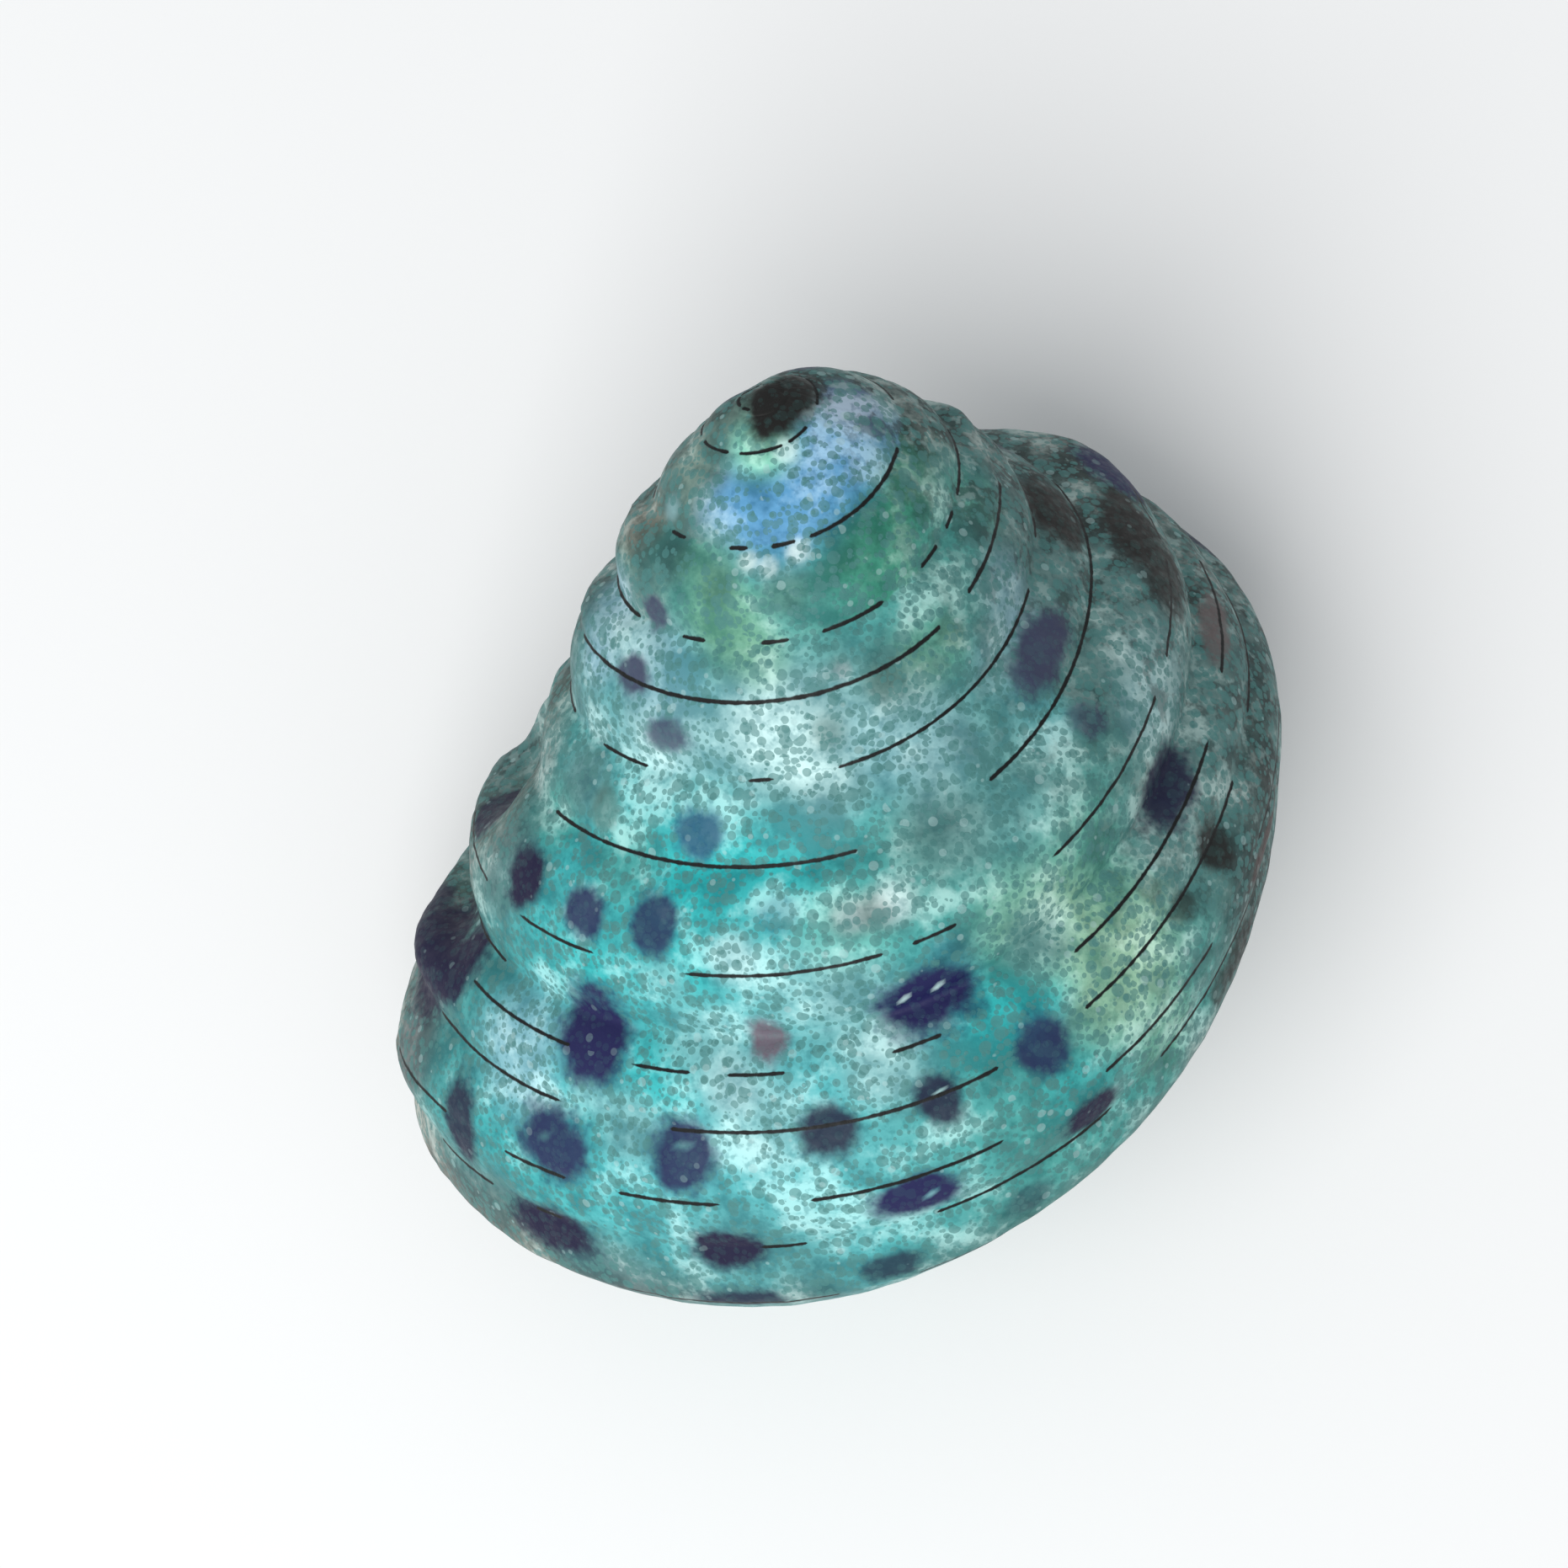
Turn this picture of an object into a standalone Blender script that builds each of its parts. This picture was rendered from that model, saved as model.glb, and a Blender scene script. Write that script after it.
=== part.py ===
"""A turban shell, grown as one piece, resting on its lip and base.

The shell is modelled about its own axis, with the apex at the origin and +Z running
down the axis to the base. Angles run the way the shell grows. It is then tipped over
into the pose in which it rests, and its lowest points are worn flat.
Metres, +Z up.
"""
import math

import bmesh
import bpy
from mathutils import Euler, Matrix, Vector

NAME = "shell"
COLLECTION = "turban_shell"

# The whorl at angle 0 of the last turn: (radius, depth below the apex) of each groove.
SUTURE = (0.00877, 0.01225)
SHOULDER_GROOVE = (0.01076, 0.01448)
UPPER_GROOVE = (0.01351, 0.02000)
MIDDLE_GROOVE = (0.01551, 0.02264)
PERIPHERY_GROOVE = (0.01666, 0.02512)
LOWER_GROOVE = (0.01659, 0.02737)
BASE_GROOVE = (0.01651, 0.03008)
BASE_TURN = (0.01300, 0.03480)
BASE_LOW = (0.00960, 0.03560)
COLUMELLA = (0.00230, 0.03330)
AXIS_DEPTH = 0.0350
BASE_ROUNDNESS = 0.35

# Growth of radius and depth in each turn, and the blunt cap above it.
RADIUS_GROWTH = 1.385
DEPTH_GROWTH = 1.514
CAP_TURNS = -2.0
CAP_GROWTH = 2.55
CAP_DEPTH = 0.0023
CAP_ROUNDNESS = 1.4
FIRST_TURN = -4.25

# How far the cords stand out, as a share of their width, and how full their sides are.
SHOULDER_CORD = 0.10
SPIRE_CORD = 0.10
UPPER_CORD = 0.17
MIDDLE_CORD = 0.15
PERIPHERY_CORD = 0.09
LOWER_CORD = 0.06
CORD_FULLNESS = 0.8

# The shell isn't quite round: (order, size, angle) of each bulge, and a leaning axis.
BULGES = ((1, 0.177, 55.0), (2, 0.097, -23.5), (3, 0.054, -43.0))
AXIS_BEND = -2.83
SWELLING = 0.095
SWELLING_LIFT = -0.0006
SWELLING_ANGLE = -27.0
SWELLING_SPREAD = 60.0

# The mouth: where the last turn ends, and how far each part of the lip falls behind.
MOUTH_ANGLE = 217.5
LIP_BLEND = 60.0
LIP_LAG = 17.0
LIP_SHOULDER = 0.12
BASE_LAG = 16.0
LIP_BASE = 0.7
START_BLEND = 75.0

# The hollow of the mouth, an ellipse that narrows inwards.
HOLLOW_CENTRE = (0.0100, 0.0285)
HOLLOW_LONG = 0.0066
HOLLOW_SHORT = 0.0054
HOLLOW_TILT = 40.0
HOLLOW_TURN = 250.0
HOLLOW_REACH = -7.5
HOLLOW_NARROWING = 0.2
HOLLOW_END = 6
HOLLOW_SIDES = 20

# The pillar that the shell winds around, which thickens to a pad beside the mouth.
PAD_PLACE = (0.0016, 0.0350)
PAD_ANGLE = 184.5
PAD_RADII = (0.0050, 0.0046, 0.0062)
PAD_TILT = 25.0
PAD_SIDES = 16

# The pose in which the shell rests, in degrees about X, Y and Z in turn, and how much
# is worn off where it touches the table.
POSE = (135.2, 6.1, 15.2)
WORN_DEPTH = 0.0005

# The mesh: degrees between two columns, and faces across each cord.
STEP = 7.5
TURN = 360.0
COLUMNS = int(TURN / STEP)
SHOULDER_FACES = 3
SPIRE_FACES = 4
CORD_FACES = 4
LOWER_FACES = 3
BASE_FACES = 8
FLOOR_SIZE = 0.2

SHELL_COLOUR = (0.16, 0.42, 0.42, 1.0)
SHELL_ROUGHNESS = 0.45


def smooth(value):
    """Ease from 0 to 1."""
    value = min(max(value, 0.0), 1.0)
    return value * value * (3.0 - 2.0 * value)


def grown(angle, place):
    """Scale a place of the whorl at angle 0 to the whorl at another angle."""
    turns = angle / TURN
    body = max(turns, CAP_TURNS)
    radius = place[0] * RADIUS_GROWTH ** body
    depth = place[1] * DEPTH_GROWTH ** body
    cap = CAP_GROWTH ** min(turns - CAP_TURNS, 0.0)
    return Vector((radius * cap, CAP_DEPTH + (depth - CAP_DEPTH) * cap ** CAP_ROUNDNESS))


def swollen(angle, place):
    """A place of the last turn, which swells a little after the mouth's far side."""
    share = math.exp(-((angle - SWELLING_ANGLE) / SWELLING_SPREAD) ** 2)
    radius, depth = grown(angle, place)
    return Vector((radius * (1.0 + SWELLING * share), depth + SWELLING_LIFT * share))


def cord(start, end, height, faces):
    """Points of a rounded cord from one groove up to, and without, the next."""
    along = end - start
    outward = Vector((along.y, -along.x))
    points = []
    for index in range(faces):
        share = index / faces
        rise = height * math.sin(math.pi * share) ** CORD_FULLNESS
        points.append(start + along * share + outward * rise)
    return points


def spire_section(angle):
    """A whorl of the spire, from its suture to the next whorl's suture."""
    top = grown(angle, SUTURE)
    groove = grown(angle, SHOULDER_GROOVE)
    low = grown(angle + TURN, SUTURE)
    return (cord(top, groove, SHOULDER_CORD, SHOULDER_FACES)
            + cord(groove, low, SPIRE_CORD, SPIRE_FACES) + [low])


def base_section(angle):
    """The underside, from the lowest groove in to the columella."""
    edge = swollen(angle, BASE_GROOVE)
    turn = swollen(angle, BASE_TURN)
    low = swollen(angle, BASE_LOW)
    pillar = swollen(angle, COLUMELLA)
    points = []
    for index in range(BASE_FACES + 1):
        t = index / BASE_FACES
        weights = ((1 - t) ** 3, 3 * t * (1 - t) ** 2, 3 * t * t * (1 - t), t ** 3)
        places = (edge, turn + (turn - edge) * BASE_ROUNDNESS, low, pillar)
        points.append(sum((p * w for p, w in zip(places, weights)), Vector((0, 0))))
    return points


def body_section(angle):
    """The whole last whorl, from its suture over the cords to the columella."""
    top = grown(angle, SUTURE)
    groove = grown(angle, SHOULDER_GROOVE)
    next_suture = grown(angle + TURN, SUTURE)
    upper = swollen(angle, UPPER_GROOVE)
    middle = swollen(angle, MIDDLE_GROOVE)
    periphery = swollen(angle, PERIPHERY_GROOVE)
    lower = swollen(angle, LOWER_GROOVE)
    base = swollen(angle, BASE_GROOVE)
    full = cord(groove, upper, UPPER_CORD, 2 * CORD_FACES)
    started = smooth((angle - MOUTH_ANGLE + TURN) / START_BLEND)
    crest = next_suture.lerp(full[CORD_FACES], started)
    first = cord(groove, crest, SPIRE_CORD, SPIRE_FACES)
    second = cord(crest, upper, SPIRE_CORD, CORD_FACES)
    first = [a.lerp(b, started) for a, b in zip(first, full[:CORD_FACES])]
    second = [a.lerp(b, started) for a, b in zip(second, full[CORD_FACES:])]
    return (cord(top, groove, SHOULDER_CORD, SHOULDER_FACES) + first + second
            + cord(upper, middle, MIDDLE_CORD, CORD_FACES)
            + cord(middle, periphery, PERIPHERY_CORD, LOWER_FACES)
            + cord(periphery, lower, LOWER_CORD, LOWER_FACES)
            + cord(lower, base, LOWER_CORD, LOWER_FACES)
            + base_section(angle))


def placed(angle, place):
    """A point of a section as a point in space."""
    turn = math.radians(angle)
    radius, depth = place
    for order, size, peak in BULGES:
        radius += place[0] * size * math.cos(order * (turn - math.radians(peak)))
    return Vector((radius * math.cos(turn) + AXIS_BEND * depth * depth,
                   radius * math.sin(turn), depth))


def lip_lag(angle, row, size):
    """How far the mesh falls behind at the mouth's two ends, in degrees."""
    crest = SHOULDER_FACES + SPIRE_FACES
    near = smooth(1.0 - (MOUTH_ANGLE - angle) / LIP_BLEND)
    share = row / size
    if angle < MOUTH_ANGLE - TURN / 2.0:
        near = smooth(1.0 - (angle - MOUTH_ANGLE + TURN) / LIP_BLEND)
        share = max(row - crest, 0) / (size - crest)
    return near * (LIP_LAG * smooth(share / LIP_SHOULDER)
                   + BASE_LAG * smooth((share - LIP_BASE) / (1.0 - LIP_BASE)))


def spiral_columns(mesh):
    """Columns of vertices along the spiral, joined where the whorls meet."""
    first = round(FIRST_TURN * COLUMNS)
    last = round(MOUTH_ANGLE / STEP)
    start = last - COLUMNS
    columns = {}
    for index in range(last, first - 1, -1):
        angle = index * STEP
        body = index >= start
        section = body_section(angle) if body else spire_section(angle)
        size = len(section) - 1
        column = []
        for row, place in enumerate(section):
            joins = index + COLUMNS in columns and row == SHOULDER_FACES + SPIRE_FACES
            if joins and index <= start:
                column.append(columns[index + COLUMNS][0])
                continue
            if body:
                behind = angle - lip_lag(angle, row, size)
                column.append(mesh.verts.new(placed(behind, body_section(behind)[row])))
            else:
                column.append(mesh.verts.new(placed(angle, place)))
        columns[index] = column
    return columns, first, start, last


def skin(mesh, left, right):
    """Quads between two columns, down to the end of the shorter one."""
    for row in range(min(len(left), len(right)) - 1):
        mesh.faces.new((left[row], left[row + 1], right[row + 1], right[row]))


def close_mouth(mesh, outer, inner):
    """Triangles across the mouth, between the lip and the whorl inside it."""
    row_out, row_in = 0, 0
    while row_out < len(outer) - 1 or row_in < len(inner) - 1:
        share_out = (row_out + 1) / (len(outer) - 1)
        share_in = (row_in + 1) / (len(inner) - 1)
        if row_in == len(inner) - 1 or (row_out < len(outer) - 1 and share_out <= share_in):
            corners = (outer[row_out], outer[row_out + 1], inner[row_in])
            row_out += 1
        else:
            corners = (outer[row_out], inner[row_in + 1], inner[row_in])
            row_in += 1
        if len(set(corners)) == 3:
            mesh.faces.new(corners)


def grow_shell():
    """The closed outer form of the shell."""
    mesh = bmesh.new()
    columns, first, start, last = spiral_columns(mesh)
    for index in range(first, last):
        skin(mesh, columns[index], columns[index + 1])
    outer = columns[last]
    inner = columns[start][SHOULDER_FACES + SPIRE_FACES:]
    close_mouth(mesh, outer, inner)
    axis = mesh.verts.new(placed(MOUTH_ANGLE, Vector((0.0, AXIS_DEPTH))))
    for index in range(start, last):
        mesh.faces.new((columns[index][-1], axis, columns[index + 1][-1]))
    mesh.faces.new((outer[-1], axis, inner[-1]))
    apex = mesh.verts.new((0.0, 0.0, CAP_DEPTH))
    for index in range(first, first + COLUMNS):
        mesh.faces.new((apex, columns[index][0], columns[index + 1][0]))
    mesh.faces.new((apex, columns[first + COLUMNS][0], *reversed(columns[first][:-1])))
    bmesh.ops.recalc_face_normals(mesh, faces=mesh.faces[:])
    return mesh


def grow_hollow():
    """The hollow of the last whorl, which reaches out past the lip."""
    mesh = bmesh.new()
    rings = []
    count = round((HOLLOW_TURN + HOLLOW_REACH) / STEP)
    for index in range(count + 1):
        angle = MOUTH_ANGLE + HOLLOW_REACH - index * STEP
        size = smooth((count - index + 1) / HOLLOW_END)
        size *= 1.0 - HOLLOW_NARROWING * smooth(index / count)
        ring = []
        for side in range(HOLLOW_SIDES):
            turn = math.tau * side / HOLLOW_SIDES
            tilt = math.radians(HOLLOW_TILT)
            long = HOLLOW_LONG * math.cos(turn) * size
            short = HOLLOW_SHORT * math.sin(turn) * size
            place = (HOLLOW_CENTRE[0] + long * math.sin(tilt) + short * math.cos(tilt),
                     HOLLOW_CENTRE[1] - long * math.cos(tilt) + short * math.sin(tilt))
            ring.append(mesh.verts.new(placed(angle, grown(angle, place))))
        rings.append(ring)
    for near, far in zip(rings, rings[1:]):
        for side in range(HOLLOW_SIDES):
            after = (side + 1) % HOLLOW_SIDES
            mesh.faces.new((near[side], near[after], far[after], far[side]))
    mesh.faces.new(rings[0])
    mesh.faces.new(rings[-1])
    bmesh.ops.recalc_face_normals(mesh, faces=mesh.faces[:])
    return mesh


def grow_pad():
    """The rounded pad of the pillar beside the mouth."""
    mesh = bmesh.new()
    bmesh.ops.create_uvsphere(mesh, u_segments=PAD_SIDES, v_segments=PAD_SIDES // 2, radius=1.0)
    bmesh.ops.scale(mesh, vec=PAD_RADII, verts=mesh.verts[:])
    lean = (Matrix.Rotation(math.radians(PAD_ANGLE), 3, "Z")
            @ Matrix.Rotation(math.radians(PAD_TILT), 3, "Y"))
    bmesh.ops.rotate(mesh, matrix=lean, verts=mesh.verts[:])
    bmesh.ops.translate(mesh, vec=placed(PAD_ANGLE, PAD_PLACE), verts=mesh.verts[:])
    return mesh


def stand(mesh):
    """Turn a mesh from the shell's own axis into the resting pose."""
    pose = Euler([math.radians(value) for value in POSE]).to_matrix().to_4x4()
    bmesh.ops.transform(mesh, matrix=pose, verts=mesh.verts[:])


def add_object(name, mesh, collection):
    """An object that holds the mesh."""
    data = bpy.data.meshes.new(name)
    mesh.to_mesh(data)
    mesh.free()
    item = bpy.data.objects.new(name, data)
    collection.objects.link(item)
    return item


def combine(body, tool, operation):
    """Cut one object out of another, or join it to the other."""
    tool.hide_render = True
    tool.display_type = "WIRE"
    modifier = body.modifiers.new("with " + tool.name, "BOOLEAN")
    modifier.operation = operation
    modifier.solver = "EXACT"
    modifier.object = tool


def shell_material():
    """The teal of the shell's outside."""
    material = bpy.data.materials.new("shell")
    material.use_nodes = True
    shader = material.node_tree.nodes["Principled BSDF"]
    shader.inputs["Base Color"].default_value = SHELL_COLOUR
    shader.inputs["Roughness"].default_value = SHELL_ROUGHNESS
    shader.inputs["Metallic"].default_value = 0.0
    return material


def collection_named(name):
    """A new collection in the scene."""
    collection = bpy.data.collections.new(name)
    bpy.context.scene.collection.children.link(collection)
    return collection


def main():
    """Grow the shell, stand it on its lip and base, and cut its hollow and worn spots."""
    for item in list(bpy.data.objects):
        bpy.data.objects.remove(item)
    parts = collection_named(COLLECTION)
    cutters = collection_named("cutters")
    form = grow_shell()
    pad = grow_pad()
    hollow = grow_hollow()
    for mesh in (form, pad, hollow):
        stand(mesh)
    corners = [Vector(pick(v.co[axis] for v in form.verts) for axis in range(3))
               for pick in (min, max)]
    middle = (corners[0] + corners[1]) / 2.0
    shift = Matrix.Translation((-middle.x, -middle.y, -corners[0].z - WORN_DEPTH))
    for mesh in (form, pad, hollow):
        bmesh.ops.transform(mesh, matrix=shift, verts=mesh.verts[:])
    shell = add_object(NAME, form, parts)
    shell.data.materials.append(shell_material())
    combine(shell, add_object("pad", pad, cutters), "UNION")
    combine(shell, add_object("hollow", hollow, cutters), "DIFFERENCE")
    floor = bmesh.new()
    bmesh.ops.create_cube(floor, size=FLOOR_SIZE,
                          matrix=Matrix.Translation((0.0, 0.0, -FLOOR_SIZE / 2.0)))
    combine(shell, add_object("floor", floor, cutters), "DIFFERENCE")


main()
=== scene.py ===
"""Dresses a turban shell that lies on its lip and base, seen from above its spire.

The shell is grown again from the sizes of its solid, in a fine mesh: incised cords, a thin
lip around an open mouth, and a smooth pad beside it. Its washes, spots and dark lines are
held as pixels of the photograph, found on the wall through the photograph's camera, laid on
the mesh as colours of its vertices, and finished in the material. The dark bands and washes
at the rim, and the smoky clouds on the side away from the light, are painted shade.
Metres, +Z up.
"""
import logging
import math
from dataclasses import dataclass
from enum import Enum

import bmesh
import bpy
import numpy as np
from mathutils import Euler, Matrix, Vector
from mathutils.kdtree import KDTree


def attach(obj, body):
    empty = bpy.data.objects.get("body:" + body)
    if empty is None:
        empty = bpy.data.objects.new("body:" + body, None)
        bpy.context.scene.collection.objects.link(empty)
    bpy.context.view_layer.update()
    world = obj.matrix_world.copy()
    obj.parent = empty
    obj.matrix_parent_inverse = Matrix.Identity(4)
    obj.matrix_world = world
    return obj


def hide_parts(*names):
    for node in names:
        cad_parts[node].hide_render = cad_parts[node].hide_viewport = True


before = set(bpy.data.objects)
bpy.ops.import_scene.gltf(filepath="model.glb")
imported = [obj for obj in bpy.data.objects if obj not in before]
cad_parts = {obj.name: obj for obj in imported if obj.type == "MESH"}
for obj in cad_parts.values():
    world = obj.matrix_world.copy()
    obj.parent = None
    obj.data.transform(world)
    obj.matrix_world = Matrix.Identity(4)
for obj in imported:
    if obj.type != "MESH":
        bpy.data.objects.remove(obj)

LOG = logging.getLogger("turban_shell")
NODE = "shell"
TURN = 360.0
MILLIMETRE = 0.001
WELD = 0.000002
# Places across a whorl: where the next whorl covers it, and where the base meets the pillar.
COVERED = 1.5
PILLAR = 7.0


class Tint(Enum):
    """The shell's pigments, as linear red, green and blue; the slate and the black also serve as painted
    shade at the rim.
    """

    BLACK_AND_SHADE = (0.010, 0.010, 0.009)
    INK = (0.008, 0.007, 0.036)
    NAVY = (0.012, 0.013, 0.075)
    DUSK = (0.040, 0.046, 0.095)
    DEEP_BLUE = (0.012, 0.075, 0.160)
    WINE = (0.045, 0.016, 0.014)
    PLUM = (0.150, 0.070, 0.105)
    ROSE = (0.130, 0.100, 0.100)
    SLATE = (0.030, 0.060, 0.055)
    MOSS = (0.075, 0.140, 0.115)
    GREY_TEAL = (0.110, 0.210, 0.200)
    STONE = (0.180, 0.200, 0.195)
    TAN = (0.180, 0.165, 0.130)
    SEA = (0.080, 0.350, 0.310)
    TURQUOISE = (0.045, 0.410, 0.415)
    CYAN = (0.012, 0.480, 0.480)
    AQUA = (0.120, 0.480, 0.510)
    SKY = (0.110, 0.340, 0.580)
    LAVENDER = (0.120, 0.180, 0.320)
    ICE = (0.280, 0.480, 0.560)
    PALE = (0.360, 0.560, 0.560)
    WHITE = (0.620, 0.780, 0.780)
    MINT = (0.230, 0.600, 0.450)
    GREEN = (0.045, 0.270, 0.180)
    LEAF = (0.170, 0.400, 0.250)
    LIME = (0.300, 0.540, 0.370)
    CAP_GREY = (0.170, 0.260, 0.220)


class Groove(Enum):
    """A line along the spiral, by its place across the whorl."""

    SUTURE = 0.0
    SHOULDER = 1.0
    FAINT_UPPER = 1.575
    UPPER = 2.0
    FAINT_MIDDLE = 2.37
    MIDDLE = 3.0
    PERIPHERY = 4.0
    LOWER = 5.0
    BASE = 6.0


@dataclass(frozen=True)
class Wash:
    """A soft patch of colour, with its middle and radius in the photograph's pixels: mostly the shell's
    pigment, and painted shade where a dark wash darkens the rim.
    """

    x: float
    y: float
    radius: float
    tint: Tint
    strength: float


@dataclass(frozen=True)
class Mark:
    """A spot, with its middle and half its length and breadth in the photograph's pixels."""

    x: float
    y: float
    along: float
    across: float
    tint: Tint
    strength: float


@dataclass(frozen=True)
class Spot:
    """A spot by its place along the spiral, longer along the cord or across it."""

    angle: float
    place: float
    along: float
    across: float
    tint: Tint
    strength: float


@dataclass(frozen=True)
class Trace:
    """A dark line along a groove, between two pixels of the photograph."""

    groove: Groove
    start: tuple
    end: tuple


@dataclass(frozen=True)
class Stroke:
    """A dark line along a groove, between two angles."""

    groove: Groove
    start: float
    end: float


def ease(value: np.ndarray) -> np.ndarray:
    """Ease from 0 to 1.

    Args:
        value: Any numbers.
    Returns:
        The numbers held between 0 and 1 and eased at both ends.
    """
    value = np.clip(value, 0.0, 1.0)
    return value * value * (3.0 - 2.0 * value)


def flat_grid(mesh: bmesh.types.BMesh, columns: int, rows: int) -> tuple:
    """Add a flat grid to a mesh, to be bent into a sheet.

    Args:
        mesh: The mesh that it is added to.
        columns: Faces across.
        rows: Faces up.
    Returns:
        Its vertices, and how far across and up each one lies, from 0 to 1.
    """
    grid = bmesh.ops.create_grid(mesh, x_segments=columns, y_segments=rows, size=0.5)["verts"]
    return grid, np.array([vert.co[:2] for vert in grid]) + 0.5


def points_of(mesh) -> np.ndarray:
    """X, Y and Z of each vertex of a mesh that is being edited."""
    return np.array([vert.co for vert in mesh.verts])


def in_order(verts: set) -> list:
    """Some vertices in the mesh's own order, which is the same each run."""
    return sorted(verts, key=lambda vert: vert.index)


def tree_of(points: np.ndarray) -> KDTree:
    """A tree that finds the nearest of some points."""
    tree = KDTree(len(points))
    for index, point in enumerate(points):
        tree.insert(point, index)
    tree.balance()
    return tree


@dataclass(frozen=True)
class Spiral:
    """The form of the whorls, with the apex at the origin and +Z down the axis."""

    suture: tuple = (0.00877, 0.01225)
    shoulder: tuple = (0.01076, 0.01448)
    upper: tuple = (0.01351, 0.02000)
    middle: tuple = (0.01551, 0.02264)
    periphery: tuple = (0.01666, 0.02512)
    lower: tuple = (0.01659, 0.02737)
    base: tuple = (0.01651, 0.03008)
    base_turn: tuple = (0.01300, 0.03480)
    base_low: tuple = (0.00960, 0.03560)
    columella: tuple = (0.00230, 0.03330)
    axis_depth: float = 0.0350
    base_roundness: float = 0.35
    radius_growth: float = 1.385
    depth_growth: float = 1.514
    cap_turns: float = -2.0
    cap_growth: float = 2.55
    cap_depth: float = 0.0023
    cap_roundness: float = 1.4
    first_angle: float = -1530.0
    mouth_angle: float = 217.5
    shoulder_cord: float = 0.10
    spire_cord: float = 0.10
    upper_cord: float = 0.17
    middle_cord: float = 0.15
    periphery_cord: float = 0.09
    lower_cord: float = 0.06
    cord_fullness: float = 0.8
    bulges: tuple = ((1, 0.177, 55.0), (2, 0.097, -23.5), (3, 0.054, -43.0))
    axis_bend: float = -2.83
    swelling: float = 0.095
    swelling_lift: float = -0.0006
    swelling_angle: float = -27.0
    swelling_spread: float = 60.0
    lip_blend: float = 60.0
    lip_lag: float = 17.0
    lip_shoulder: float = 0.12
    base_lag: float = 16.0
    lip_base: float = 0.7
    lag_steps: tuple = (0.0, 3.0, 11.0, 15.0, 18.0, 21.0, 24.0, 32.0)
    lag_start: float = 7.0
    start_blend: float = 75.0

    def grown(self, angle: np.ndarray, place: tuple) -> np.ndarray:
        """Scale a place of the whorl at angle 0 to other angles.

        Args:
            angle: Angles in degrees.
            place: Radius and depth at angle 0.
        Returns:
            Radius and depth at each angle, along the last axis.
        """
        turns = angle / TURN
        body = np.maximum(turns, self.cap_turns)
        radius = place[0] * self.radius_growth ** body
        depth = place[1] * self.depth_growth ** body
        cap = self.cap_growth ** np.minimum(turns - self.cap_turns, 0.0)
        depth = self.cap_depth + (depth - self.cap_depth) * cap ** self.cap_roundness
        return np.stack((radius * cap, depth), axis=-1)

    def swollen(self, angle: np.ndarray, place: tuple) -> np.ndarray:
        """Scale a place of the last turn, which swells a little on its far side.

        Args:
            angle: Angles in degrees.
            place: Radius and depth at angle 0.
        Returns:
            Radius and depth at each angle, along the last axis.
        """
        share = np.exp(-((angle - self.swelling_angle) / self.swelling_spread) ** 2)
        place = self.grown(angle, place)
        grown = np.stack((1.0 + self.swelling * share, np.ones_like(share)), axis=-1)
        lift = np.stack((np.zeros_like(share), self.swelling_lift * share), axis=-1)
        return place * grown + lift

    def cord(self, start: np.ndarray, end: np.ndarray, height: float,
             share: np.ndarray) -> np.ndarray:
        """Points on a rounded cord between two grooves.

        Args:
            start: The groove above.
            end: The groove below.
            height: How far the cord stands out, as a share of its width.
            share: How far across the cord each point lies.
        Returns:
            Radius and depth of each point.
        """
        along = end - start
        outward = np.stack((along[..., 1], -along[..., 0]), axis=-1)
        share = np.clip(share, 0.0, 1.0)
        rise = height * np.maximum(np.sin(math.pi * share), 0.0) ** self.cord_fullness
        return start + along * share[..., None] + outward * rise[..., None]

    def spire(self, angle: np.ndarray, place: np.ndarray) -> np.ndarray:
        """Points of the whorls above the last turn.

        Args:
            angle: Angles in degrees.
            place: Places across the whorl, 0 at its suture and COVERED at the next.
        Returns:
            Radius and depth of each point.
        """
        top = self.grown(angle, self.suture)
        groove = self.grown(angle, self.shoulder)
        low = self.grown(angle + TURN, self.suture)
        first = self.cord(top, groove, self.shoulder_cord, place)
        second = self.cord(groove, low, self.spire_cord, (place - 1.0) * 2.0)
        return np.where((place < 1.0)[..., None], first, second)

    def body(self, angle: np.ndarray, place: np.ndarray) -> np.ndarray:
        """Points of the last turn.

        Args:
            angle: Angles in degrees.
            place: Places across the whorl, 0 at the suture and PILLAR at the columella.
        Returns:
            Radius and depth of each point.
        """
        top = self.grown(angle, self.suture)
        groove = self.grown(angle, self.shoulder)
        upper = self.swollen(angle, self.upper)
        started = ease((angle - self.mouth_angle + TURN) / self.start_blend)[..., None]
        half = self.cord(groove, upper, self.upper_cord, np.full_like(angle, 0.5))
        below = self.grown(angle + TURN, self.suture)
        crest = below + (half - below) * started
        full = self.cord(groove, upper, self.upper_cord, place - 1.0)
        first = self.cord(groove, crest, self.spire_cord, (place - 1.0) * 2.0)
        second = self.cord(crest, upper, self.spire_cord, (place - COVERED) * 2.0)
        early = np.where((place < COVERED)[..., None], first, second)
        bands = [self.cord(top, groove, self.shoulder_cord, place),
                 early + (full - early) * started]
        above = upper
        for low, height in ((self.middle, self.middle_cord),
                            (self.periphery, self.periphery_cord),
                            (self.lower, self.lower_cord), (self.base, self.lower_cord)):
            edge = self.swollen(angle, low)
            bands.append(self.cord(above, edge, height, place - len(bands)))
            above = edge
        bands.append(self.underside(angle, place - len(bands)))
        points = bands[0]
        for index, band in enumerate(bands[1:], 1):
            points = np.where((place >= index)[..., None], band, points)
        return points

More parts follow.
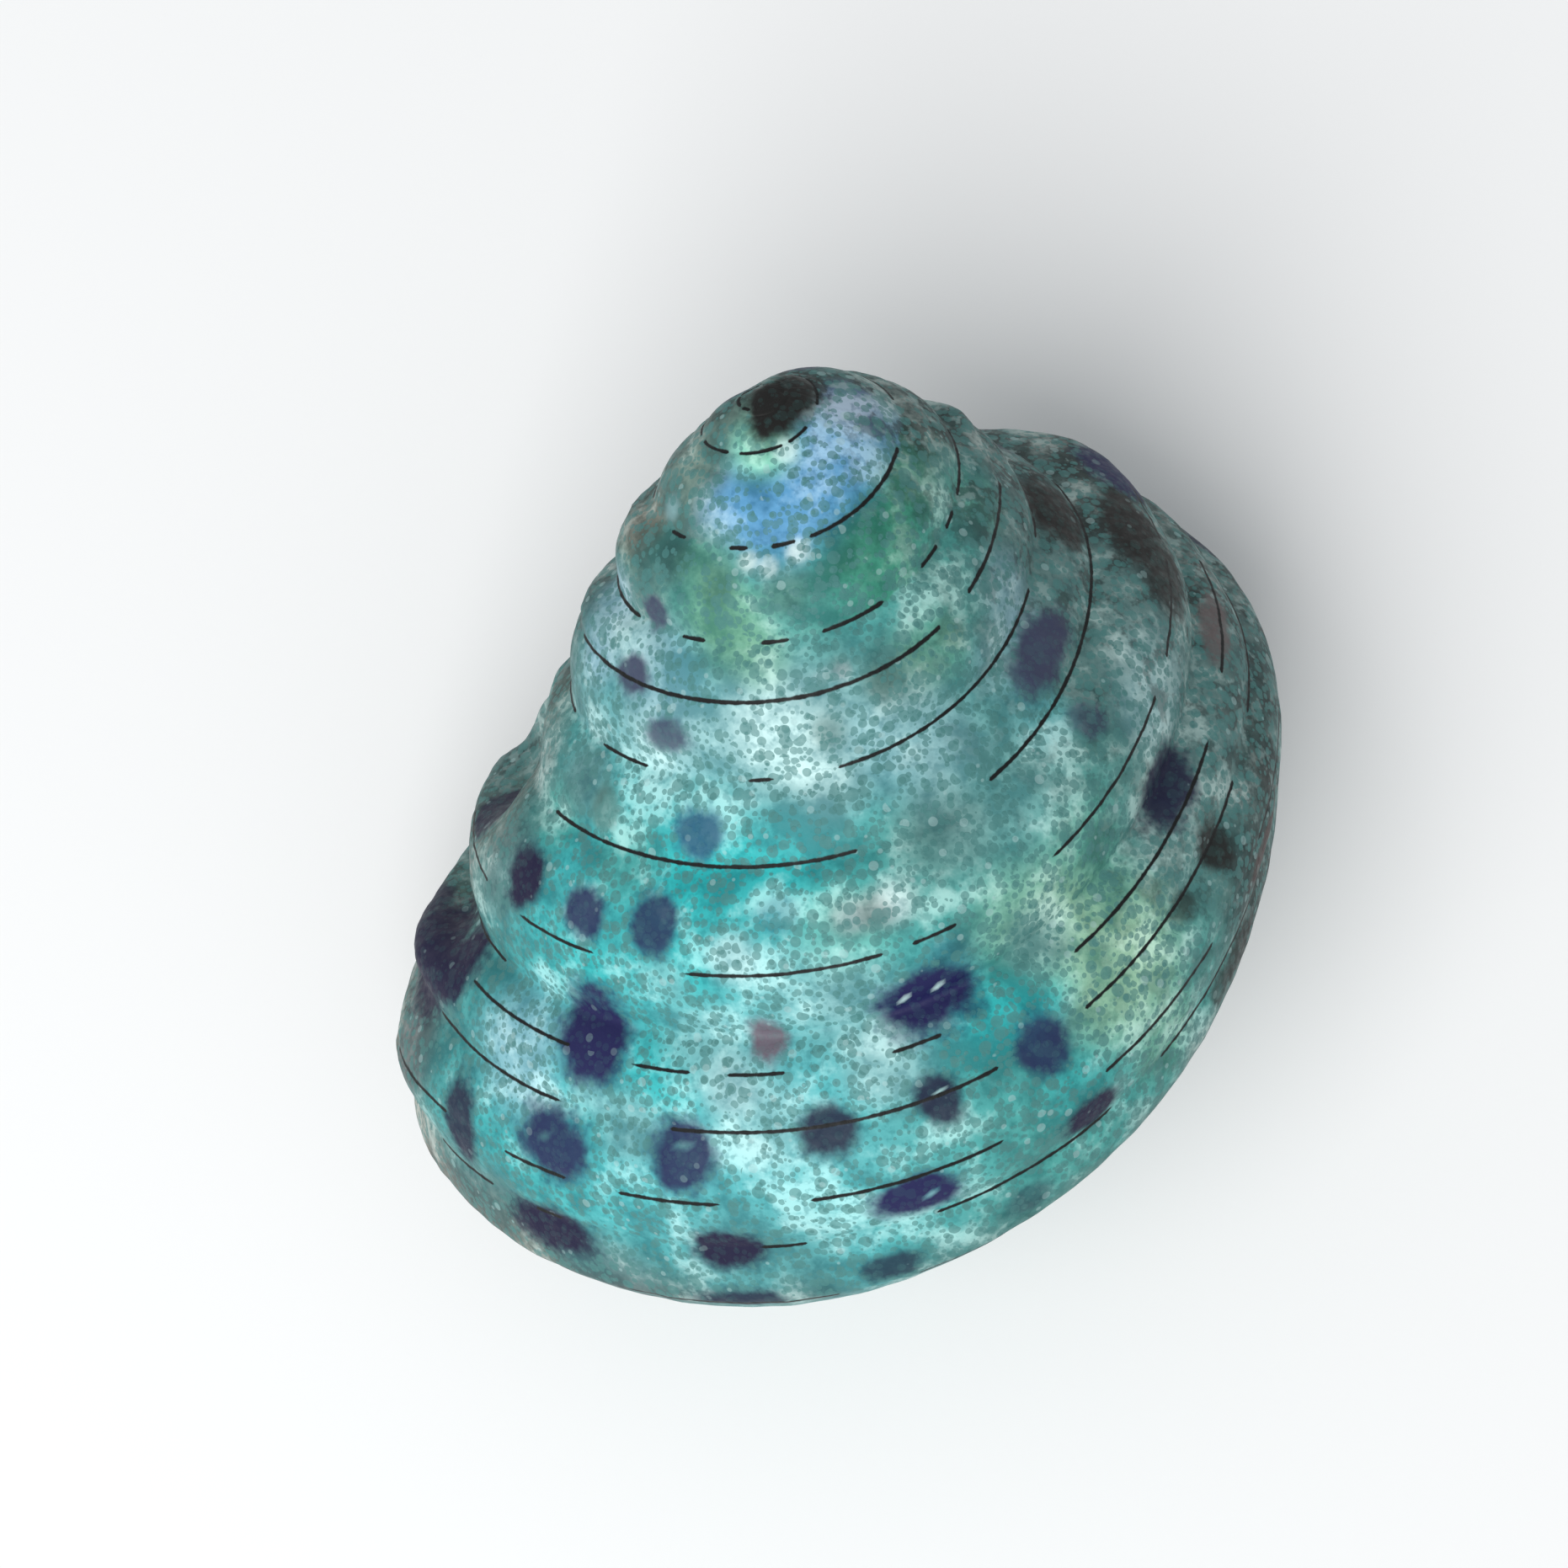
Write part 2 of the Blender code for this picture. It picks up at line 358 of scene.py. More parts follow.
    def underside(self, angle: np.ndarray, share: np.ndarray) -> np.ndarray:
        """Points of the base, from the lowest groove in to the columella.

        Args:
            angle: Angles in degrees.
            share: How far in each point lies, from 0 to 1.
        Returns:
            Radius and depth of each point.
        """
        edge = self.swollen(angle, self.base)
        turn = self.swollen(angle, self.base_turn)
        low = self.swollen(angle, self.base_low)
        pillar = self.swollen(angle, self.columella)
        share = np.clip(share, 0.0, 1.0)[..., None]
        rest = 1.0 - share
        round_turn = turn + (turn - edge) * self.base_roundness
        return (edge * rest ** 3 + round_turn * 3.0 * share * rest ** 2
                + low * 3.0 * share ** 2 * rest + pillar * share ** 3)

    def placed(self, angle: np.ndarray, section: np.ndarray) -> np.ndarray:
        """Points of a section as points in space.

        Args:
            angle: Angles in degrees.
            section: Radius and depth of each point.
        Returns:
            X, Y and Z of each point.
        """
        turn = np.radians(angle)
        radius, depth = section[..., 0], section[..., 1]
        whole = radius.copy()
        for order, size, peak in self.bulges:
            whole = whole + radius * size * np.cos(order * (turn - math.radians(peak)))
        return np.stack((whole * np.cos(turn) + self.axis_bend * depth * depth,
                         whole * np.sin(turn), depth), axis=-1)

    def lag(self, angle: np.ndarray, place: np.ndarray) -> np.ndarray:
        """How far the lip and the start of the last turn fall behind.

        Args:
            angle: Angles in degrees.
            place: Places across the whorl.
        Returns:
            Degrees by which each point falls behind.
        """
        whole = self.lag_steps[-1]
        share = np.interp(place, range(len(self.lag_steps)), self.lag_steps) / whole
        near = ease(1.0 - (self.mouth_angle - angle) / self.lip_blend)
        far = ease(1.0 - (angle - self.mouth_angle + TURN) / self.lip_blend)
        early = angle < self.mouth_angle - TURN / 2.0
        inner = np.maximum(share * whole - self.lag_start, 0.0) / (whole - self.lag_start)
        share = np.where(early, inner, share)
        lag = (self.lip_lag * ease(share / self.lip_shoulder)
               + self.base_lag * ease((share - self.lip_base) / (1.0 - self.lip_base)))
        return np.where(early, far, near) * lag


@dataclass(frozen=True)
class Pose:
    """How the shell lies: turns about X, Y and Z in degrees, and where its apex is."""

    turns: tuple = (135.2, 6.1, 15.2)
    apex: tuple = (-0.00123, 0.019843, 0.030137)

    def matrix(self) -> Matrix:
        """The turn and move from the shell's own axis into the world."""
        turn = Euler([math.radians(value) for value in self.turns]).to_matrix().to_4x4()
        return Matrix.Translation(self.apex) @ turn

    def world(self, points: np.ndarray) -> np.ndarray:
        """Move points from the shell's own axis into the world.

        Args:
            points: X, Y and Z along the last axis.
        Returns:
            The moved points, in the same shape.
        """
        matrix = np.array(self.matrix())
        return points @ matrix[:3, :3].T + matrix[:3, 3]


@dataclass(frozen=True)
class Sight:
    """The camera that sees the shell as the photograph does."""

    pixels: float = 1862.0
    lens: float = 100.0
    sensor: float = 36.0
    turns: tuple = (1.496, 6.722, 0.027)
    place: tuple = (0.020369, -0.002340, 0.202505)

    def rotation(self) -> Euler:
        """The camera's turns."""
        return Euler([math.radians(turn) for turn in self.turns])

    def seen(self, points: np.ndarray) -> np.ndarray:
        """Where points show in the photograph.

        Args:
            points: X, Y and Z of each point in the world.
        Returns:
            Pixels across, pixels down and the size of a pixel there, for each point.
        """
        local = (points - np.array(self.place)) @ np.array(self.rotation().to_matrix())
        pixel = -local[:, 2] * self.sensor / (self.lens * self.pixels)
        middle = self.pixels / 2.0
        return np.stack((middle + local[:, 0] / pixel, middle - local[:, 1] / pixel, pixel), axis=1)


@dataclass
class Chart:
    """Points of the wall and where the photograph shows them.

    The point at a pixel is looked for within the reach, in pixels. Where no point is as near,
    the nearest one's distance times the slack is used. Of those, a point whose pixel is larger
    than the smallest by more than the skin lies deeper, and is hidden.
    """

    sight: Sight
    angle: np.ndarray
    place: np.ndarray
    points: np.ndarray
    reach: float = 8.0
    slack: float = 1.2
    skin: float = 1.006

    def __post_init__(self) -> None:
        """See the points through the camera."""
        self.seen = self.sight.seen(self.points)

    def find(self, x: float, y: float) -> int:
        """The point that shows at a pixel.

        Args:
            x: Pixels across.
            y: Pixels down.
        Returns:
            Its index: the nearest to the pixel, of the points there that aren't hidden.
        """
        gap = np.hypot(self.seen[:, 0] - x, self.seen[:, 1] - y)
        near = np.flatnonzero(gap <= max(self.reach, self.slack * gap.min()))
        front = near[self.seen[near, 2] < self.seen[near, 2].min() * self.skin]
        return int(front[gap[front].argmin()])


@dataclass
class Whorls:
    """The coiled wall of the shell, from the apex to the lip."""

    spiral: Spiral
    step: float = 1.25
    evenness: float = 0.45
    body_steps: tuple = ((0.0, 1.0, 12), (1.0, 1.5, 14), (1.5, 2.0, 14), (2.0, 3.0, 16),
                         (3.0, 4.0, 12), (4.0, 5.0, 11), (5.0, 6.0, 11))
    spire_steps: tuple = ((0.0, 1.0, 9), (1.0, 1.5, 13))
    base_rows: int = 27
    cap_rings: int = 3
    axis_place: float = 8.0
    apex_reach: float = 0.0004
    hole_radius: float = 0.0012
    hole_depth: float = 0.004

    def rows(self, steps: tuple) -> list:
        """Places of rows across cords, closer together beside the grooves.

        Args:
            steps: For each cord, the grooves above and below it and the steps between them.
        Returns:
            The places, without the last groove. Each faint line has a row of its own.
        """
        rows = []
        for start, end, count in steps:
            even = np.linspace(0.0, 1.0, count + 1)
            share = (1.0 - np.cos(math.pi * even)) / 2.0
            share = share + self.evenness * (even - share)
            cord = list(start + (end - start) * share[:-1])
            for line in (Groove.FAINT_UPPER.value, Groove.FAINT_MIDDLE.value):
                if start < line < end:
                    nearest = min(range(1, count), key=lambda index: abs(cord[index] - line))
                    cord[nearest] = line
            rows += cord
        return rows

    def body_rows(self) -> list:
        """Places of the rows across the last turn."""
        base = list(np.linspace(Groove.BASE.value, PILLAR, self.base_rows))
        return self.rows(self.body_steps) + base + [self.axis_place]

    def spire_rows(self) -> list:
        """Places of the rows across a whorl above the last turn."""
        return self.rows(self.spire_steps) + [COVERED]

    def sheet(self, mesh: bmesh.types.BMesh, start: float, end: float, rows: list,
              shape) -> None:
        """Add a sheet of the wall, bent from a flat grid.

        Args:
            mesh: The mesh that it is added to.
            start: Angle of its first column.
            end: Angle of its last column.
            rows: Place of each row.
            shape: What turns angles and places into points.
        """
        columns = round((end - start) / self.step)
        grid, flat = flat_grid(mesh, columns, len(rows) - 1)
        angle = start + np.round(flat[:, 0] * columns) * self.step
        place = np.array(rows)[np.round(flat[:, 1] * (len(rows) - 1)).astype(int)]
        points = shape(angle, place)
        angles = mesh.verts.layers.float["angle"]
        places = mesh.verts.layers.float["place"]
        for vert, point, turned, across in zip(grid, points, angle, place):
            vert.co = point
            vert[angles] = turned
            vert[places] = across

    def body_shape(self, angle: np.ndarray, place: np.ndarray) -> np.ndarray:
        """Points of the last turn, with its lip fallen behind."""
        spiral = self.spiral
        inner = np.minimum(place, PILLAR)
        behind = angle - spiral.lag(angle, inner)
        points = spiral.placed(behind, spiral.body(behind, inner))
        axis = spiral.placed(np.array(spiral.mouth_angle), np.array((0.0, spiral.axis_depth)))
        return np.where((place > (PILLAR + self.axis_place) / 2.0)[:, None], axis, points)

    def spire_shape(self, angle: np.ndarray, place: np.ndarray) -> np.ndarray:
        """Points of the whorls above the last turn."""
        return self.spiral.placed(angle, self.spiral.spire(angle, place))

    def cap_shape(self, angle: np.ndarray, place: np.ndarray) -> np.ndarray:
        """Points of the first whorl's top, which closes over the apex."""
        rim = self.spiral.placed(angle, self.spiral.grown(angle, self.spiral.suture))
        apex = np.array((0.0, 0.0, self.spiral.cap_depth))
        return apex + (rim - apex) * place[:, None]

    def build(self) -> bmesh.types.BMesh:
        """Grow the whole wall, closed over the apex and open at the mouth."""
        mesh = bmesh.new()
        mesh.verts.layers.float.new("angle")
        mesh.verts.layers.float.new("place")
        first = self.spiral.first_angle
        start = self.spiral.mouth_angle - TURN
        self.sheet(mesh, start, start + TURN, self.body_rows(), self.body_shape)
        self.sheet(mesh, first, start, self.spire_rows(), self.spire_shape)
        cap = list(np.linspace(0.0, 1.0, self.cap_rings + 1))
        self.sheet(mesh, first, first + TURN, cap, self.cap_shape)
        layer = mesh.verts.layers.float["place"]
        for vert in mesh.verts:
            if (vert.co - Vector((0.0, 0.0, self.spiral.cap_depth))).length < self.apex_reach:
                vert[layer] = 0.0
        bmesh.ops.remove_doubles(mesh, verts=mesh.verts[:], dist=WELD)
        self.close(mesh)
        bmesh.ops.recalc_face_normals(mesh, faces=mesh.faces[:])
        return mesh

    def close(self, mesh: bmesh.types.BMesh) -> None:
        """Close the small hole beside the apex, and skin over the mouth.

        Args:
            mesh: The open wall.
        """
        near = [edge for edge in mesh.edges
                if edge.is_boundary and edge.verts[0].co.z < self.hole_depth
                and max(vert.co.xy.length for vert in edge.verts) < self.hole_radius]
        bmesh.ops.holes_fill(mesh, edges=near, sides=0)
        rim = [edge for edge in mesh.edges if edge.is_boundary]
        bmesh.ops.triangle_fill(mesh, edges=rim, use_beauty=True)


@dataclass
class Mouth:
    """The hollow behind the lip, and the pad of the pillar beside it."""

    spiral: Spiral
    centre: tuple = (0.0100, 0.0285)
    long: float = 0.0066
    short: float = 0.0054
    tilt: float = 40.0
    turn: float = 250.0
    reach: float = -7.5
    narrowing: float = 0.2
    end: float = 45.0
    step: float = 2.5
    sides: int = 72
    pad_place: tuple = (0.0016, 0.0350)
    pad_angle: float = 184.5
    pad_radii: tuple = (0.0050, 0.0046, 0.0062)
    pad_tilt: float = 25.0
    pad_sides: int = 64

    def hollow(self) -> bmesh.types.BMesh:
        """The hollow of the last whorl, bent from a flat grid and capped."""
        mesh = bmesh.new()
        span = self.turn + self.reach
        columns = round(span / self.step)
        grid, flat = flat_grid(mesh, columns, self.sides)
        inward = flat[:, 0] * span
        angle = self.spiral.mouth_angle + self.reach - inward
        size = ease((self.turn - inward) / self.end)
        size = size * (1.0 - self.narrowing * ease(flat[:, 0]))
        round_turn = math.tau * flat[:, 1]
        lean = math.radians(self.tilt)
        long = self.long * np.cos(round_turn) * size
        short = self.short * np.sin(round_turn) * size
        radius = self.centre[0] + long * math.sin(lean) + short * math.cos(lean)
        depth = self.centre[1] - long * math.cos(lean) + short * math.sin(lean)
        turns = angle / TURN
        section = np.stack((radius * self.spiral.radius_growth ** turns,
                            depth * self.spiral.depth_growth ** turns), axis=-1)
        for vert, point in zip(grid, self.spiral.placed(angle, section)):
            vert.co = point
        bmesh.ops.remove_doubles(mesh, verts=mesh.verts[:], dist=WELD)
        ends = [edge for edge in mesh.edges if edge.is_boundary]
        bmesh.ops.holes_fill(mesh, edges=ends, sides=0)
        bmesh.ops.recalc_face_normals(mesh, faces=mesh.faces[:])
        return mesh

    def pad(self) -> bmesh.types.BMesh:
        """The rounded pad of the pillar beside the mouth."""
        mesh = bmesh.new()
        bmesh.ops.create_uvsphere(mesh, u_segments=self.pad_sides,
                                  v_segments=self.pad_sides // 2, radius=1.0)
        bmesh.ops.scale(mesh, vec=self.pad_radii, verts=mesh.verts[:])
        lean = (Matrix.Rotation(math.radians(self.pad_angle), 3, "Z")
                @ Matrix.Rotation(math.radians(self.pad_tilt), 3, "Y"))
        bmesh.ops.rotate(mesh, matrix=lean, verts=mesh.verts[:])
        place = self.spiral.placed(np.array(self.pad_angle), np.array(self.pad_place))
        bmesh.ops.translate(mesh, vec=Vector(place), verts=mesh.verts[:])
        return mesh


@dataclass(frozen=True)
class Swell:
    """A soft rise of the wall, or a soft dip where its height is below zero."""

    angle: float
    place: float
    along: float
    across: float
    height_mm: float


@dataclass
class Relief:
    """The low relief of the outside: incised grooves, ripples and uneven growth."""

    groove_depth: float = 0.00007
    groove_width: float = 0.05
    base_grooves: tuple = (6.22, 6.40, 6.57, 6.74)
    base_groove_share: float = 0.7
    base_groove_width: float = 0.035
    ripple_height: float = 0.00003
    ripple_turns: tuple = (29.0, 47.0, 71.0)
    seam_reach: float = 0.25
    covered_reach: float = 0.12
    pillar_reach: float = 0.6
    spire_end: float = -142.0
    body_start: float = -141.0
    body_end: float = 223.0
    end_reach: float = 8.0
    growth_angle: float = 1500.0
    least_size: float = 0.15
    swells: tuple = (
        Swell(202, 1.00, 36, 0.65, -1.20), Swell(202, 1.30, 34, 0.30, -1.10),
        Swell(199, 2.20, 32, 0.35, -1.10), Swell(186, 2.75, 28, 0.45, 0.90),
        Swell(176, 4.10, 28, 0.95, 0.65), Swell(160, 5.80, 20, 0.80, -0.25),
        Swell(105, 6.10, 50, 0.80, 0.42), Swell(60, 5.60, 40, 0.80, 0.20),
        Swell(-380, 0.50, 14, 0.50, 0.35), Swell(-366, 1.10, 12, 0.40, -0.30),
        Swell(-30, 1.60, 20, 0.50, 0.50), Swell(-12, 2.80, 16, 0.70, -0.30),
        Swell(-540, 0.90, 34, 0.70, 0.40), Swell(-180, 0.75, 28, 0.70, 0.45))

    def height(self, angle: np.ndarray, place: np.ndarray) -> np.ndarray:
        """How far each point of the wall is pushed out.

        Args:
            angle: Angles in degrees.
            place: Places across the whorl.
        Returns:
            Heights in metres, zero where two whorls meet.
        """
        turn = np.radians(angle)
        body = (ease((PILLAR - place) / self.pillar_reach)
                * ease((angle - self.body_start) / self.end_reach)
                * ease((self.body_end - angle) / self.end_reach))
        spire = ease((COVERED - place) / self.covered_reach)
        seam = ease(place / self.seam_reach) * np.where(angle < self.spire_end, spire, body)
        line = np.zeros_like(angle)
        for groove in (Groove.SHOULDER, Groove.UPPER, Groove.MIDDLE, Groove.PERIPHERY,
                       Groove.LOWER, Groove.BASE):
            gap = (place - groove.value) / self.groove_width
            line = np.maximum(line, np.exp(-gap * gap))
        for step in self.base_grooves:
            gap = (place - step) / self.base_groove_width
            line = np.maximum(line, self.base_groove_share * np.exp(-gap * gap))
        ripple = np.mean([np.sin(count * turn + count) for count in self.ripple_turns], axis=0)
        size = np.clip(1.0 + angle / self.growth_angle, self.least_size, 1.0)
        low = size * (self.ripple_height * ripple - self.groove_depth * line)
        for swell in self.swells:
            share = (ease(1.0 - np.abs(angle - swell.angle) / swell.along)
                     * ease(1.0 - np.abs(place - swell.place) / swell.across))
            low = low + share * swell.height_mm * MILLIMETRE
        return seam * low


@dataclass
class Markings:
    """The shell's colours: those in the photograph by pixels, the hidden ones by rule."""

    ramp: tuple = (
        (-1530, Tint.CAP_GREY), (-1300, Tint.MOSS), (-1100, Tint.GREY_TEAL), (-1000, Tint.SKY),
        (-930, Tint.CAP_GREY), (-820, Tint.GREY_TEAL), (-720, Tint.SLATE), (-660, Tint.GREEN),
        (-600, Tint.SEA), (-530, Tint.MOSS), (-450, Tint.GREY_TEAL), (-350, Tint.SLATE),
        (-300, Tint.SEA), (-230, Tint.AQUA), (-170, Tint.GREY_TEAL), (-60, Tint.GREY_TEAL),
        (10, Tint.GREY_TEAL), (50, Tint.SEA), (90, Tint.TURQUOISE), (150, Tint.TURQUOISE),
        (185, Tint.MOSS), (217.5, Tint.GREY_TEAL))
    # Painted shade: the slate and black washes along the right side, the upper right and the bottom edge
    # of the outline darken the rim.
    washes: tuple = (
        Wash(1330, 720, 220, Tint.GREY_TEAL, 0.9), Wash(1250, 540, 90, Tint.SLATE, 0.7),
        Wash(1450, 880, 110, Tint.GREY_TEAL, 0.8), Wash(1480, 1050, 80, Tint.SLATE, 0.7),
        Wash(1400, 1000, 90, Tint.GREY_TEAL, 0.6), Wash(1150, 1020, 150, Tint.SEA, 0.8),
        Wash(1150, 1400, 160, Tint.SEA, 0.7), Wash(900, 1400, 240, Tint.AQUA, 0.55),
        Wash(620, 1250, 80, Tint.ICE, 0.7), Wash(1325, 1140, 100, Tint.LIME, 1),
        Wash(1385, 1230, 55, Tint.LEAF, 0.5), Wash(1280, 1350, 80, Tint.SEA, 0.6),
        Wash(900, 1515, 120, Tint.GREY_TEAL, 0.45), Wash(585, 1450, 100, Tint.STONE, 0.6),
        Wash(497, 1250, 45, Tint.STONE, 0.9), Wash(525, 1400, 60, Tint.STONE, 0.8),
        Wash(590, 955, 60, Tint.MOSS, 0.8), Wash(645, 900, 45, Tint.SLATE, 0.6),
        Wash(515, 1085, 45, Tint.MOSS, 0.7), Wash(665, 970, 45, Tint.GREEN, 0.35),
        Wash(830, 1040, 55, Tint.CYAN, 0.6), Wash(800, 1160, 50, Tint.CYAN, 0.6),
        Wash(785, 1280, 55, Tint.CYAN, 0.6), Wash(1190, 1195, 60, Tint.CYAN, 0.7),
        Wash(895, 975, 60, Tint.CYAN, 0.6), Wash(1130, 1140, 35, Tint.DEEP_BLUE, 0.5),
        Wash(1250, 1215, 35, Tint.DEEP_BLUE, 0.4), Wash(1000, 1110, 60, Tint.MINT, 0.35),
        Wash(960, 1190, 70, Tint.PALE, 0.4), Wash(900, 1330, 60, Tint.PALE, 0.5),
        Wash(1050, 1270, 50, Tint.PALE, 0.6), Wash(870, 1140, 32, Tint.WHITE, 0.5),
        Wash(1060, 1078, 32, Tint.STONE, 0.4), Wash(1005, 1092, 26, Tint.STONE, 0.6),
        Wash(690, 1290, 60, Tint.CYAN, 0.4), Wash(930, 870, 110, Tint.PALE, 0.85),
        Wash(790, 870, 70, Tint.PALE, 0.7), Wash(1080, 880, 75, Tint.ICE, 0.5),
        Wash(1070, 800, 50, Tint.MOSS, 0.6), Wash(985, 925, 45, Tint.PALE, 0.5),
        Wash(1180, 790, 50, Tint.ICE, 0.35), Wash(1210, 740, 25, Tint.ICE, 0.5),
        Wash(1235, 850, 45, Tint.AQUA, 0.5), Wash(1060, 600, 65, Tint.GREEN, 0.8),
        Wash(1020, 665, 55, Tint.GREEN, 0.65), Wash(960, 740, 55, Tint.SEA, 0.6),
        Wash(1125, 655, 55, Tint.SEA, 0.6), Wash(860, 745, 55, Tint.LEAF, 0.8),
        Wash(850, 690, 26, Tint.MOSS, 0.6), Wash(905, 785, 35, Tint.LEAF, 0.5),
        Wash(765, 625, 38, Tint.TAN, 0.8), Wash(800, 665, 28, Tint.SLATE, 0.5),
        Wash(742, 708, 40, Tint.ICE, 0.9), Wash(715, 775, 35, Tint.ICE, 0.8),
        Wash(697, 740, 16, Tint.SLATE, 0.5), Wash(915, 595, 80, Tint.SKY, 1),
        Wash(985, 545, 60, Tint.SKY, 0.9), Wash(1010, 480, 42, Tint.LAVENDER, 0.8),
        Wash(835, 545, 42, Tint.CAP_GREY, 0.9), Wash(865, 512, 24, Tint.CAP_GREY, 0.5),
        Wash(905, 530, 42, Tint.MINT, 1), Wash(932, 535, 16, Tint.WHITE, 0.6),
        Wash(888, 667, 13, Tint.WHITE, 0.9), Wash(912, 674, 12, Tint.WHITE, 0.8),
        Wash(946, 654, 14, Tint.WHITE, 0.9), Wash(797, 603, 15, Tint.WHITE, 0.7),
        Wash(1000, 800, 11, Tint.WHITE, 0.8), Wash(975, 806, 9, Tint.WHITE, 0.7),
        Wash(1130, 755, 22, Tint.SLATE, 0.6), Wash(1000, 790, 16, Tint.SLATE, 0.5),
        Wash(1290, 545, 60, Tint.BLACK_AND_SHADE, 0.6), Wash(1375, 600, 50, Tint.BLACK_AND_SHADE, 0.55),
        Wash(1440, 680, 40, Tint.BLACK_AND_SHADE, 0.5), Wash(1500, 900, 45, Tint.SLATE, 0.7),
        Wash(1490, 1130, 45, Tint.BLACK_AND_SHADE, 0.6), Wash(1430, 1250, 45, Tint.SLATE, 0.6),
        Wash(1375, 810, 70, Tint.PALE, 0.45), Wash(1200, 705, 50, Tint.ICE, 0.45),
        Wash(1220, 1095, 75, Tint.LIME, 0.6), Wash(1110, 770, 45, Tint.LEAF, 0.35),
        Wash(840, 1235, 60, Tint.PALE, 0.45), Wash(1030, 1190, 60, Tint.PALE, 0.45),
        Wash(1180, 930, 90, Tint.PALE, 0.35), Wash(760, 1560, 70, Tint.SLATE, 0.5),
        Wash(1220, 1480, 60, Tint.SLATE, 0.45), Wash(640, 1510, 60, Tint.SLATE, 0.5),
        Wash(462, 1230, 30, Tint.TAN, 0.7), Wash(470, 1330, 40, Tint.TAN, 0.6),
        Wash(560, 1010, 30, Tint.SLATE, 0.5), Wash(840, 1040, 60, Tint.CYAN, 0.3),
        Wash(740, 1020, 50, Tint.SEA, 0.6), Wash(1150, 575, 50, Tint.SEA, 0.55),
        Wash(1362, 855, 45, Tint.PALE, 0.5), Wash(1230, 1170, 50, Tint.CYAN, 0.65),
        Wash(745, 1335, 45, Tint.PALE, 0.5), Wash(785, 800, 60, Tint.ICE, 0.5),
        Wash(565, 1450, 60, Tint.SLATE, 0.45), Wash(620, 975, 40, Tint.SLATE, 0.4),
        Wash(1470, 1160, 40, Tint.BLACK_AND_SHADE, 0.5), Wash(505, 1200, 40, Tint.STONE, 0.6),
        Wash(790, 1165, 30, Tint.PALE, 0.4), Wash(870, 1290, 35, Tint.WHITE, 0.35),
        Wash(700, 1300, 30, Tint.WHITE, 0.3), Wash(1290, 1010, 60, Tint.LEAF, 0.35),
        Wash(465, 1130, 25, Tint.BLACK_AND_SHADE, 0.6), Wash(1190, 480, 40, Tint.SLATE, 0.5),
        Wash(820, 1565, 45, Tint.SLATE, 0.5), Wash(960, 1560, 40, Tint.SLATE, 0.45),
        Wash(1120, 1520, 45, Tint.SLATE, 0.45), Wash(1290, 1110, 60, Tint.LIME, 0.5),
        Wash(1062, 1076, 22, Tint.WHITE, 0.5), Wash(1015, 1090, 16, Tint.WHITE, 0.35),
        Wash(1300, 620, 35, Tint.BLACK_AND_SHADE, 0.45), Wash(1420, 720, 35, Tint.SLATE, 0.6),
        Wash(700, 1150, 45, Tint.CYAN, 0.5), Wash(930, 1010, 55, Tint.CYAN, 0.45),
        Wash(1280, 1290, 50, Tint.CYAN, 0.35), Wash(1130, 600, 50, Tint.SEA, 0.45),
        Wash(1100, 870, 60, Tint.PALE, 0.35), Wash(1385, 645, 110, Tint.SLATE, 0.5),
        Wash(1480, 830, 60, Tint.SLATE, 0.45), Wash(1450, 1200, 40, Tint.SLATE, 0.5),
        Wash(1380, 1330, 40, Tint.SLATE, 0.4), Wash(1300, 1420, 40, Tint.SLATE, 0.4),
        Wash(1235, 1110, 55, Tint.LIME, 0.6), Wash(1370, 830, 50, Tint.PALE, 0.4),
        Wash(1500, 850, 40, Tint.SLATE, 0.5), Wash(765, 705, 40, Tint.STONE, 0.3),
        Wash(480, 1300, 95, Tint.TAN, 0.6), Wash(520, 1400, 95, Tint.TAN, 0.5),
        Wash(610, 1490, 90, Tint.TAN, 0.5), Wash(720, 1550, 80, Tint.STONE, 0.5),
        Wash(1505, 980, 75, Tint.WINE, 0.45), Wash(1490, 1090, 75, Tint.WINE, 0.4),
        Wash(1230, 1105, 45, Tint.PALE, 0.6), Wash(1160, 590, 35, Tint.MINT, 0.5),
        Wash(1110, 990, 60, Tint.STONE, 0.4), Wash(760, 765, 50, Tint.WHITE, 0.3),
        Wash(735, 725, 40, Tint.WHITE, 0.25), Wash(700, 925, 50, Tint.STONE, 0.5),
        Wash(590, 1030, 60, Tint.STONE, 0.5), Wash(1508, 1050, 60, Tint.BLACK_AND_SHADE, 0.55),
        Wash(1512, 930, 50, Tint.BLACK_AND_SHADE, 0.5), Wash(1485, 1150, 50, Tint.BLACK_AND_SHADE, 0.45),
        Wash(1508, 800, 45, Tint.SLATE, 0.6), Wash(500, 1250, 50, Tint.STONE, 0.5),
        Wash(1033, 1084, 24, Tint.STONE, 0.6), Wash(845, 675, 45, Tint.LEAF, 0.5),
        Wash(930, 700, 30, Tint.MOSS, 0.5), Wash(985, 870, 22, Tint.MOSS, 0.5),
        Wash(1050, 815, 24, Tint.MOSS, 0.5))
